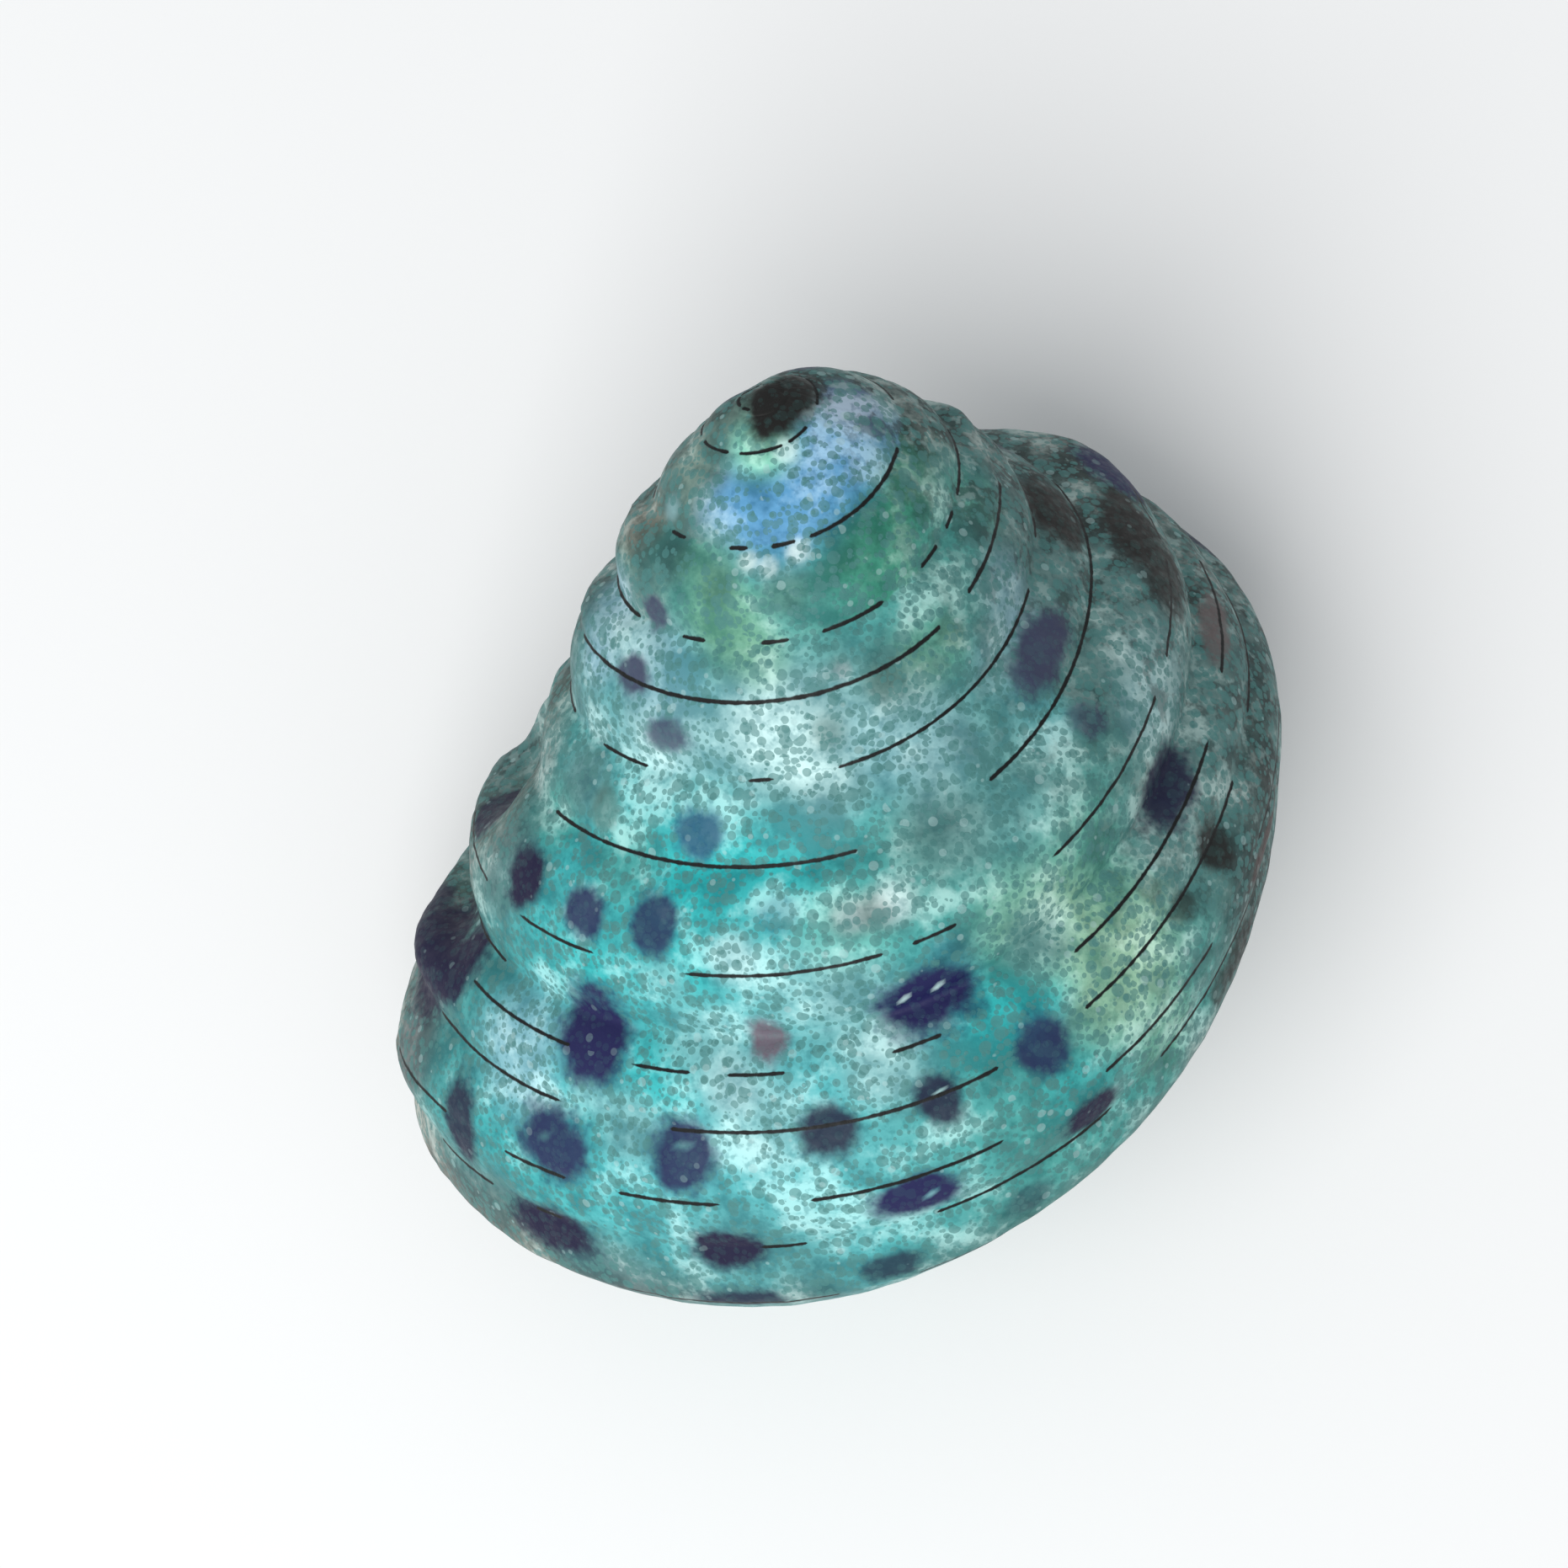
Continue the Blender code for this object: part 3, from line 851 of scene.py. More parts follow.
    marks: tuple = (
        Mark(778, 728, 18, 14, Tint.DUSK, 0.9), Mark(750, 802, 22, 18, Tint.DUSK, 0.95),
        Mark(790, 873, 28, 16, Tint.DUSK, 0.85), Mark(718, 962, 20, 20, Tint.MOSS, 0.6),
        Mark(832, 990, 26, 25, Tint.DEEP_BLUE, 0.9), Mark(622, 1040, 28, 28, Tint.INK, 1),
        Mark(692, 1080, 26, 24, Tint.NAVY, 0.95), Mark(775, 1095, 26, 30, Tint.NAVY, 0.9),
        Mark(922, 1090, 20, 18, Tint.DEEP_BLUE, 0.35), Mark(516, 1135, 56, 54, Tint.INK, 1),
        Mark(548, 1145, 30, 44, Tint.INK, 1), Mark(706, 1228, 42, 42, Tint.NAVY, 1),
        Mark(918, 1232, 20, 22, Tint.PLUM, 0.85), Mark(1098, 1180, 52, 29, Tint.NAVY, 1),
        Mark(1232, 1240, 26, 30, Tint.NAVY, 0.9), Mark(548, 1330, 24, 45, Tint.INK, 0.95),
        Mark(655, 1357, 42, 36, Tint.NAVY, 0.95), Mark(808, 1373, 34, 34, Tint.NAVY, 0.95),
        Mark(985, 1345, 28, 26, Tint.INK, 0.95), Mark(1117, 1303, 24, 26, Tint.INK, 0.95),
        Mark(1297, 1320, 36, 20, Tint.INK, 1), Mark(655, 1460, 56, 26, Tint.INK, 1),
        Mark(868, 1480, 40, 24, Tint.INK, 1), Mark(1093, 1422, 48, 24, Tint.NAVY, 1),
        Mark(1055, 1500, 32, 14, Tint.INK, 0.8), Mark(880, 1540, 44, 14, Tint.INK, 0.9),
        Mark(1225, 1420, 24, 14, Tint.INK, 0.55), Mark(1240, 772, 50, 24, Tint.DUSK, 0.95),
        Mark(1378, 935, 50, 28, Tint.INK, 0.95), Mark(1255, 605, 52, 36, Tint.BLACK_AND_SHADE, 1),
        Mark(1345, 625, 56, 30, Tint.BLACK_AND_SHADE, 1), Mark(1388, 685, 50, 26, Tint.BLACK_AND_SHADE, 0.95),
        Mark(1442, 745, 50, 14, Tint.ROSE, 0.85), Mark(1440, 1005, 24, 26, Tint.BLACK_AND_SHADE, 0.95),
        Mark(1402, 1075, 20, 14, Tint.BLACK_AND_SHADE, 0.7), Mark(1362, 1055, 12, 16, Tint.BLACK_AND_SHADE, 0.45),
        Mark(1290, 855, 20, 18, Tint.DUSK, 0.6), Mark(1500, 1010, 50, 12, Tint.WINE, 0.9),
        Mark(1468, 1130, 50, 14, Tint.BLACK_AND_SHADE, 0.8), Mark(1445, 1175, 20, 16, Tint.BLACK_AND_SHADE, 0.7),
        Mark(924, 474, 46, 26, Tint.BLACK_AND_SHADE, 1), Mark(1075, 1189, 9, 10, Tint.WHITE, 0.75),
        Mark(1097, 1180, 10, 10, Tint.WHITE, 0.75), Mark(1117, 1173, 10, 10, Tint.WHITE, 0.75),
        Mark(985, 1342, 16, 9, Tint.PALE, 0.95), Mark(1117, 1298, 17, 8, Tint.PALE, 0.95),
        Mark(652, 1352, 24, 16, Tint.DUSK, 0.7), Mark(812, 1362, 20, 15, Tint.DUSK, 0.7),
        Mark(706, 1222, 20, 18, Tint.DUSK, 0.5), Mark(1095, 1420, 26, 12, Tint.DEEP_BLUE, 0.5))
    traces: tuple = (
        Trace(Groove.SUTURE, (955, 454), (978, 480)), Trace(Groove.SUTURE, (974, 523), (949, 544)),
        Trace(Groove.SUTURE, (880, 540), (938, 553)), Trace(Groove.SUTURE, (1040, 489), (965, 440)),
        Trace(Groove.SUTURE, (1051, 530), (964, 641)), Trace(Groove.SUTURE, (944, 648), (920, 656)),
        Trace(Groove.SUTURE, (887, 653), (868, 650)), Trace(Groove.SUTURE, (819, 628), (812, 614)),
        Trace(Groove.SUTURE, (800, 547), (803, 580)), Trace(Groove.SUTURE, (733, 652), (766, 726)),
        Trace(Groove.SUTURE, (815, 751), (838, 758)), Trace(Groove.SUTURE, (906, 763), (936, 763)),
        Trace(Groove.SUTURE, (980, 754), (1044, 710)), Trace(Groove.SUTURE, (1079, 662), (1089, 637)),
        Trace(Groove.SUTURE, (693, 757), (703, 837)), Trace(Groove.SUTURE, (731, 869), (776, 895)),
        Trace(Groove.SUTURE, (890, 929), (918, 930)), Trace(Groove.SUTURE, (998, 917), (1207, 697)),
        Trace(Groove.SUTURE, (1222, 616), (1222, 639)), Trace(Groove.SHOULDER, (803, 814), (1114, 745)),
        Trace(Groove.SHOULDER, (1145, 699), (1179, 574)), Trace(Groove.SHOULDER, (673, 951), (1016, 1009)),
        Trace(Groove.SHOULDER, (1179, 928), (1262, 563)),
        Trace(Groove.FAINT_UPPER, (581, 968), (603, 1030)),
        Trace(Groove.FAINT_UPPER, (632, 1068), (710, 1117)),
        Trace(Groove.FAINT_UPPER, (814, 1153), (1046, 1133)),
        Trace(Groove.FAINT_UPPER, (1085, 1120), (1134, 1097)),
        Trace(Groove.FAINT_UPPER, (1235, 998), (1333, 813)), Trace(Groove.UPPER, (872, 1256), (883, 1256)),
        Trace(Groove.UPPER, (981, 1237), (1028, 1226)), Trace(Groove.UPPER, (1090, 1205), (1141, 1182)),
        Trace(Groove.UPPER, (1208, 1134), (1421, 730)),
        Trace(Groove.FAINT_MIDDLE, (551, 1173), (673, 1248)),
        Trace(Groove.FAINT_MIDDLE, (750, 1274), (819, 1287)),
        Trace(Groove.FAINT_MIDDLE, (864, 1290), (933, 1285)),
        Trace(Groove.FAINT_MIDDLE, (1068, 1281), (1129, 1257)),
        Trace(Groove.MIDDLE, (523, 1203), (664, 1313)), Trace(Groove.MIDDLE, (797, 1340), (1177, 1254)),
        Trace(Groove.PERIPHERY, (485, 1244), (532, 1321)),
        Trace(Groove.PERIPHERY, (598, 1370), (672, 1404)),
        Trace(Groove.PERIPHERY, (731, 1419), (854, 1436)),
        Trace(Groove.PERIPHERY, (961, 1426), (1189, 1345)), Trace(Groove.LOWER, (622, 1470), (656, 1487)),
        Trace(Groove.LOWER, (903, 1466), (954, 1466)), Trace(Groove.LOWER, (1110, 1433), (1319, 1311)),
        Trace(Groove.BASE, (735, 1519), (994, 1521)))

    back_spot: tuple = (0.0015, 0.0011, 0.85)
    back_rows: tuple = (0.5, 1.5, 2.5, 3.5, 4.5, 5.5)
    back_angles: tuple = (-128.0, -97.0, -66.0, -35.0)
    back_shift: float = 14.0
    back_end: float = -20.0
    narrow_rows: tuple = (0.5, 4.5, 5.5)
    narrow_breadth: float = 0.0008
    base_spot: tuple = (0.0014, 0.0009, 0.75)
    base_angles: tuple = (-112.0, 28.0, 11)
    base_places: tuple = (6.42, 6.50, 6.58)
    lip_spot: tuple = (0.0012, 0.0010, 0.9)
    lip_angles: tuple = (190.0, 197.0, 204.0, 211.0)
    lip_place: float = 1.4
    lip_step: float = 1.3
    spire_spot: tuple = (0.0013, 0.0008, 0.8)
    spire_angles: tuple = (-1210.0, 74.0, 14)
    spire_side: tuple = (200.0, 345.0)
    spire_place: float = 1.2
    spire_size: float = 0.5
    spire_growth: float = 0.0005
    least_size: float = 0.8
    size_step: float = 0.1
    hidden_lines: tuple = (
        Stroke(Groove.SUTURE, -180, 0), Stroke(Groove.SHOULDER, -226, -24),
        Stroke(Groove.FAINT_UPPER, -100, 20), Stroke(Groove.UPPER, -120, -6),
        Stroke(Groove.FAINT_MIDDLE, -110, 70), Stroke(Groove.MIDDLE, -130, 70),
        Stroke(Groove.PERIPHERY, -130, 70), Stroke(Groove.LOWER, -130, 55),
        Stroke(Groove.BASE, -120, 90), Stroke(Groove.BASE, 140, 205),
        Stroke(Groove.LOWER, 150, 205), Stroke(Groove.MIDDLE, 176, 205),
        Stroke(Groove.UPPER, 160, 205), Stroke(Groove.SUTURE, -535, -325),
        Stroke(Groove.SUTURE, -940, -785), Stroke(Groove.SUTURE, -1300, -1112))
    dash: float = 13.0
    dash_step: float = 9.0
    space: float = 4.0

    def hidden_spots(self) -> list:
        """Spots on the sides that the photograph doesn't show, in the same rows."""
        return self.back_spots() + self.base_spots() + self.lip_spots() + self.spire_spots()

    def back_spots(self) -> list:
        """Rows of spots on the back of the last turn, each second row shifted."""
        spots = []
        along, broad, strength = self.back_spot
        for row, place in enumerate(self.back_rows):
            across = self.narrow_breadth if place in self.narrow_rows else broad
            for index, angle in enumerate(self.back_angles):
                angle += self.back_shift * (row % 2)
                if angle > self.back_end:
                    continue
                size = self.least_size + self.size_step * ((index * 3 + row * 5) % 4)
                tint = (Tint.INK, Tint.NAVY, Tint.BLACK_AND_SHADE)[(index + row) % 3]
                spots.append(Spot(angle, place, along * size, across * size, tint, strength))
        return spots

    def base_spots(self) -> list:
        """Small spots round the base."""
        along, across, strength = self.base_spot
        start, step, count = self.base_angles
        return [Spot(start + step * index, self.base_places[index % 3], along, across,
                     (Tint.NAVY, Tint.INK)[index % 2], strength) for index in range(count)]

    def lip_spots(self) -> list:
        """Small spots beside the lip, each on a lower cord."""
        along, across, strength = self.lip_spot
        return [Spot(angle, self.lip_place + self.lip_step * index, along, across, Tint.INK,
                     strength) for index, angle in enumerate(self.lip_angles)]

    def spire_spots(self) -> list:
        """Spots on the back of the spire, which grow with its whorls."""
        spots = []
        along, across, strength = self.spire_spot
        start, step, count = self.spire_angles
        for index in range(count):
            angle = start + step * index
            if self.spire_side[0] < angle % TURN < self.spire_side[1]:
                size = self.spire_size + self.spire_growth * (angle - start)
                spots.append(Spot(angle, self.spire_place, along * size, across * size,
                                  Tint.DUSK, strength))
        return spots

    def hidden_strokes(self) -> list:
        """Broken lines on the sides that the photograph doesn't show."""
        strokes = []
        for row, line in enumerate(self.hidden_lines):
            start = line.start
            index = 0
            while start < line.end:
                length = self.dash + self.dash_step * ((index * 7 + row * 3) % 5)
                strokes.append(Stroke(line.groove, start, min(start + length, line.end)))
                start += length + self.space * (1 + (index * 3 + row) % 4)
                index += 1
        return strokes


@dataclass
class Painter:
    """Lays the markings on the wall as named attributes of its vertices."""

    whorls: Whorls
    pose: Pose
    sight: Sight
    markings: Markings
    chart_step: float = 0.04
    depth_factor: float = 1.1
    trace_reach: float = 25.0
    trace_span: float = 120.0
    level_step: float = 0.15
    ahead_step: float = 0.5
    through_factor: float = 3.0
    wash_start: float = 1.5
    wash_fade: float = 1.1
    stroke_step: float = 0.3125
    stroke_reach: float = 0.0005
    # Painted shade: the sides of the outline and the band above the base are darkened toward slate, where
    # the rim turns away from the light.
    shaded_sides: tuple = (190.0, -12.0)
    side_reach: float = 11.0
    side_width: float = 1.5
    keel_place: float = 6.15
    keel_reach: float = 0.55
    keel_width: float = 1.6
    rim_shade_strength: float = 0.6
    # How strongly the dark smoky clouds show: a clouded pattern, made stronger as painted shade on the
    # side away from the light.
    mottle_and_shade_middle: float = 0.62
    painted_shade_swing: float = 0.55
    lit_angle: float = 118.0

    def point(self, angle: np.ndarray, place: np.ndarray) -> np.ndarray:
        """Points of the wall in the world.

        Args:
            angle: Angles in degrees.
            place: Places across the whorl.
        Returns:
            X, Y and Z of each point.
        """
        angle = np.atleast_1d(np.asarray(angle, dtype=float))
        place = np.atleast_1d(np.asarray(place, dtype=float))
        body = self.whorls.body_shape(angle, place)
        spire = self.whorls.spire_shape(angle, place)
        last_turn = angle >= self.whorls.spiral.mouth_angle - TURN
        return self.pose.world(np.where(last_turn[:, None], body, spire))

    def chart(self) -> Chart:
        """The whole wall, by its angles and places."""
        spiral = self.whorls.spiral
        start = spiral.mouth_angle - TURN
        body = np.meshgrid(np.arange(start, spiral.mouth_angle),
                           np.arange(0.0, Groove.BASE.value, self.chart_step))
        spire = np.meshgrid(np.arange(spiral.first_angle, start),
                            np.arange(0.0, COVERED, self.chart_step))
        angle, place = (np.concatenate((low.ravel(), high.ravel()))
                        for low, high in zip(body, spire))
        return Chart(self.sight, angle, place, self.point(angle, place))

    def base(self, angle: np.ndarray, place: np.ndarray) -> np.ndarray:
        """The ground colour along the spiral, darker in two bands of painted shade at the rim: above the
        base, and at the outline's sides.

        Args:
            angle: Angle of each vertex in degrees.
            place: Place of each vertex across its whorl.
        Returns:
            Red, green and blue of each vertex.
        """
        stops = [stop for stop, _ in self.markings.ramp]
        tints = np.array([tint.value for _, tint in self.markings.ramp])
        colour = np.stack([np.interp(angle, stops, tints[:, index]) for index in range(3)],
                          axis=1)
        # Painted shade: darker toward slate in a band above the base and at two side angles, where the
        # outline turns away.
        keel_shade = 1.0 - np.abs(place - self.keel_place) / self.keel_reach
        dark = ease(keel_shade * self.keel_width)
        for middle in self.shaded_sides:
            gap = TURN / 2.0 - np.abs((angle - middle) % TURN - TURN / 2.0)
            dark = np.maximum(dark, ease(self.side_width - gap / self.side_reach))
        dark = dark * self.rim_shade_strength
        return colour + (np.array(Tint.SLATE.value) - colour) * dark[:, None]

    def wash(self, points: np.ndarray, angle: np.ndarray, place: np.ndarray) -> np.ndarray:
        """The ground colour with every wash laid over it.

        Args:
            points: Place of each vertex in the world.
            angle: Angle of each vertex along the spiral.
            place: Place of each vertex across its whorl.
        Returns:
            Red, green and blue of each vertex.
        """
        colour = self.base(angle, place)
        chart = self.chart()
        for wash in self.markings.washes:
            index = chart.find(wash.x, wash.y)
            gap = np.linalg.norm(points - chart.points[index], axis=1)
            gap = gap / (wash.radius * chart.seen[index, 2])
            share = (ease((self.wash_start - gap) / self.wash_fade) * wash.strength)[:, None]
            colour = colour + (np.array(wash.tint.value) - colour) * share
        return colour

    def spots(self) -> list:
        """Every spot by its place along the spiral: those in the photograph, then the rest."""
        chart = self.chart()
        spots = []
        for mark in self.markings.marks:
            index = chart.find(mark.x, mark.y)
            pixel = chart.seen[index, 2]
            spots.append(Spot(chart.angle[index], chart.place[index], mark.along * pixel,
                              mark.across * pixel * self.depth_factor, mark.tint, mark.strength))
        return spots + self.markings.hidden_spots()

    def strokes(self) -> list:
        """Every dark line by its angles: those in the photograph, then the rest."""
        strokes = []
        spiral = self.whorls.spiral
        for trace in self.markings.traces:
            place = trace.groove.value
            first = spiral.first_angle if place <= 1.0 else spiral.mouth_angle - TURN
            angle = np.arange(first, spiral.mouth_angle, self.stroke_step)
            place = np.full(len(angle), place)
            chart = Chart(self.sight, angle, place, self.point(angle, place), self.trace_reach)
            start = angle[chart.find(*trace.start)]
            same = np.abs(angle - start) < self.trace_span
            chart = Chart(self.sight, angle[same], place[same], chart.points[same],
                          self.trace_reach)
            end = chart.angle[chart.find(*trace.end)]
            strokes.append(Stroke(trace.groove, min(start, end), max(start, end)))
        return strokes + self.markings.hidden_strokes()

    def spot(self, points: np.ndarray) -> tuple:
        """How deep in a spot each vertex lies, and that spot's colour.

        Args:
            points: Place of each vertex in the world.
        Returns:
            Depths, 1 at a spot's middle and 0.5 at its edge, and colours with strength.
        """
        depth = np.zeros(len(points))
        colour = np.tile(np.array((*Tint.NAVY.value, 0.0)), (len(points), 1))
        for spot in self.spots():
            centre = self.point(spot.angle, spot.place)[0]
            ahead = self.point(spot.angle + self.ahead_step, spot.place)[0] - centre
            above, below = self.point((spot.angle, spot.angle), (spot.place - self.level_step,
                                                                 spot.place + self.level_step))
            ahead = ahead / np.linalg.norm(ahead)
            normal = np.cross(ahead, below - above)
            normal = normal / np.linalg.norm(normal)
            gap = points - centre
            along = gap @ ahead / spot.along
            across = gap @ np.cross(normal, ahead) / spot.across
            through = gap @ normal / (self.through_factor * max(spot.along, spot.across))
            field = 1.0 - 0.5 * np.sqrt(along ** 2 + across ** 2 + through ** 2)
            nearer = field > depth
            depth = np.where(nearer, field, depth)
            colour[nearer] = (*spot.tint.value, spot.strength)
        return np.clip(depth, 0.0, 1.0), colour

    def line(self, points: np.ndarray) -> np.ndarray:
        """How near each vertex lies to a dark line.

        Args:
            points: Place of each vertex in the world.
        Returns:
            1 on a line, down to 0 half a millimetre from it.
        """
        traced = []
        for stroke in self.strokes():
            start = round(stroke.start / self.stroke_step)
            end = round(stroke.end / self.stroke_step)
            angle = np.arange(start, end + 1) * self.stroke_step
            traced.append(self.point(angle, np.full(len(angle), stroke.groove.value)))
        tree = tree_of(np.concatenate(traced))
        gaps = np.array([tree.find(point)[2] for point in points])
        return np.clip(1.0 - gaps / self.stroke_reach, 0.0, 1.0)

    def mottle_and_shade(self, angle: np.ndarray) -> np.ndarray:
        """How strongly the surface is clouded, most on the side away from the light: a clouded pattern
        with painted shade.
        """
        light = np.cos(np.radians(angle - self.lit_angle))
        return ease(self.mottle_and_shade_middle - self.painted_shade_swing * light)


@dataclass
class Shell:
    """The dressed shell: wall, hollow and pad in one piece."""

    spiral: Spiral
    pose: Pose
    whorls: Whorls
    mouth: Mouth
    relief: Relief
    painter: Painter
    rim_weld: float = 0.00004
    rim_angle: float = 35.0
    rim_passes: int = 8
    rim_softness: float = 0.5
    apex_clear: float = 0.006
    bare_reach: float = 0.0004
    worn_reach: float = 0.00015

    def build(self) -> bpy.types.Object:
        """Grow the shell and paint it, as an object named after the part's node."""
        wall = self.whorls.build()
        wall.verts.ensure_lookup_table()
        angle, place = (np.array([vert[wall.verts.layers.float[name]] for vert in wall.verts])
                        for name in ("angle", "place"))
        paint = self.paint(self.pose.world(points_of(wall)), angle, place)
        height = self.relief.height(angle, place)
        wall.normal_update()
        shift = np.array([vert.normal for vert in wall.verts]) * height[:, None]
        matrix = self.pose.matrix()
        for vert, move in zip(wall.verts, shift):
            vert.co += Vector(move)
        hollow, pad = self.mouth.hollow(), self.mouth.pad()
        for mesh in (wall, hollow, pad):
            bmesh.ops.transform(mesh, matrix=matrix, verts=mesh.verts[:])
        trees = [tree_of(points_of(mesh)) for mesh in (wall, hollow, pad)]
        shell = add_object(NODE + "_dressed", wall)
        carve(shell, pad, "UNION")
        carve(shell, hollow, "DIFFERENCE")
        self.soften(shell)
        self.transfer(shell, trees, paint)
        return shell

    def paint(self, points: np.ndarray, angle: np.ndarray, place: np.ndarray) -> dict:
        """Every marking of the wall's vertices.

        Args:
            points: Place of each vertex in the world.
            angle: Angle of each vertex along the spiral.
            place: Place of each vertex across its whorl.
        Returns:
            Named arrays with a row for each vertex.
        """
        depth, spot = self.painter.spot(points)
        return {"ground": self.painter.wash(points, angle, place), "spot_depth": depth,
                "spot_colour": spot, "line": self.painter.line(points),
                "mottle_and_shade": self.painter.mottle_and_shade(angle)}

    def soften(self, shell: bpy.types.Object) -> None:
        """Round the lip and the pad's foot, and wear the lowest points flat.

        Args:
            shell: The cut shell.
        """
        mesh = bmesh.new()
        mesh.from_mesh(shell.data)
        limit = math.radians(self.rim_angle)
        sharp = {vert for edge in mesh.edges if edge.is_manifold
                 and edge.calc_face_angle(0.0) > limit for vert in edge.verts
                 if (vert.co - Vector(self.pose.apex)).length > self.apex_clear}
        bmesh.ops.remove_doubles(mesh, verts=in_order(sharp), dist=self.rim_weld)
        mesh.verts.index_update()
        sharp = {vert for vert in sharp if vert.is_valid}
        around = sharp | {edge.other_vert(vert) for vert in sharp for edge in vert.link_edges}
        for _ in range(self.rim_passes):
            bmesh.ops.smooth_vert(mesh, verts=in_order(around), factor=self.rim_softness,
                                  use_axis_x=True, use_axis_y=True, use_axis_z=True)
        for vert in mesh.verts:
            vert.co.z = max(vert.co.z, 0.0)
        bmesh.ops.triangulate(mesh, faces=[face for face in mesh.faces if len(face.verts) > 4])
        mesh.to_mesh(shell.data)
        mesh.free()

    def transfer(self, shell: bpy.types.Object, trees: list, paint: dict) -> None:
        """Give the finished mesh the markings of the nearest point of the wall.

        Args:
            shell: The finished shell.
            trees: Trees of the points of the wall, the hollow and the pad.
            paint: The markings of the wall's points.
        """
        data = shell.data
        nearest = [[tree.find(vert.co) for tree in trees] for vert in data.vertices]
        index = np.array([found[0][1] for found in nearest])
        gaps = np.array([[hit[2] for hit in found] for found in nearest])
        bare = (gaps[:, 0] - gaps[:, 1:].min(axis=1)) / self.bare_reach
        bare = np.clip(bare, 0.0, 1.0)
        height = np.array([vert.co.z for vert in data.vertices])
        add_values(data, "nacre", bare)
        add_values(data, "worn", np.clip(1.0 - height / self.worn_reach, 0.0, 1.0))
        for name in ("spot_depth", "line", "mottle_and_shade"):
            add_values(data, name, paint[name][index] * (1.0 - bare))
        for name in ("ground", "spot_colour"):
            add_colours(data, name, paint[name][index])
        data.polygons.foreach_set("use_smooth", np.ones(len(data.polygons), dtype=bool))


def add_object(name: str, mesh: bmesh.types.BMesh) -> bpy.types.Object:
    """An object in the scene that holds the mesh.

    Args:
        name: The object's name.
        mesh: The mesh, which is used up.
    Returns:
        The new object.
    """
    data = bpy.data.meshes.new(name)
    mesh.to_mesh(data)
    mesh.free()
    item = bpy.data.objects.new(name, data)
    bpy.context.scene.collection.objects.link(item)
    return item


def carve(body: bpy.types.Object, tool: bmesh.types.BMesh, operation: str) -> None:
    """Cut a form out of an object, or join it to the object, for good.

    Args:
        body: The object that is changed.
        tool: The form.
        operation: DIFFERENCE or UNION.
    """
    cutter = add_object("form", tool)
    modifier = body.modifiers.new("cut", "BOOLEAN")
    modifier.operation = operation
    modifier.solver = "EXACT"
    modifier.object = cutter
    result = bpy.data.meshes.new_from_object(
        body.evaluated_get(bpy.context.evaluated_depsgraph_get()))
    body.modifiers.clear()
    body.data = result
    bpy.data.objects.remove(cutter)


def add_values(data: bpy.types.Mesh, name: str, values: np.ndarray) -> None:
    """Store a number for each vertex.

    Args:
        data: The mesh.
        name: The attribute's name.
        values: A number for each vertex.
    """
    layer = data.attributes.new(name, "FLOAT", "POINT")
    layer.data.foreach_set("value", values.astype(np.float32))


def add_colours(data: bpy.types.Mesh, name: str, values: np.ndarray) -> None:
    """Store a colour for each vertex.

    Args:
        data: The mesh.
        name: The attribute's name.
        values: Red, green and blue of each vertex, and how strong the colour is.
    """
    if values.shape[1] == 3:
        values = np.concatenate((values, np.ones((len(values), 1))), axis=1)
    layer = data.attributes.new(name, "FLOAT_COLOR", "POINT")
    layer.data.foreach_set("color", values.astype(np.float32).ravel())


@dataclass(frozen=True)
class Pattern:
    """Noise, by its scale and by how much and how rough its detail is."""

    scale: float
    detail: float = 2.0
    rough: float = 0.55


@dataclass(frozen=True)
class Fade:
    """An eased change of a value from one range to another."""

    low: float
    high: float
    start: float = 0.0
    end: float = 1.0


@dataclass(frozen=True)
class Dots:
    """A layer of dots: scale, radius, share of the cells that hold one, and strength."""

    scale: float
    radius: float
    share: float
    strength: float


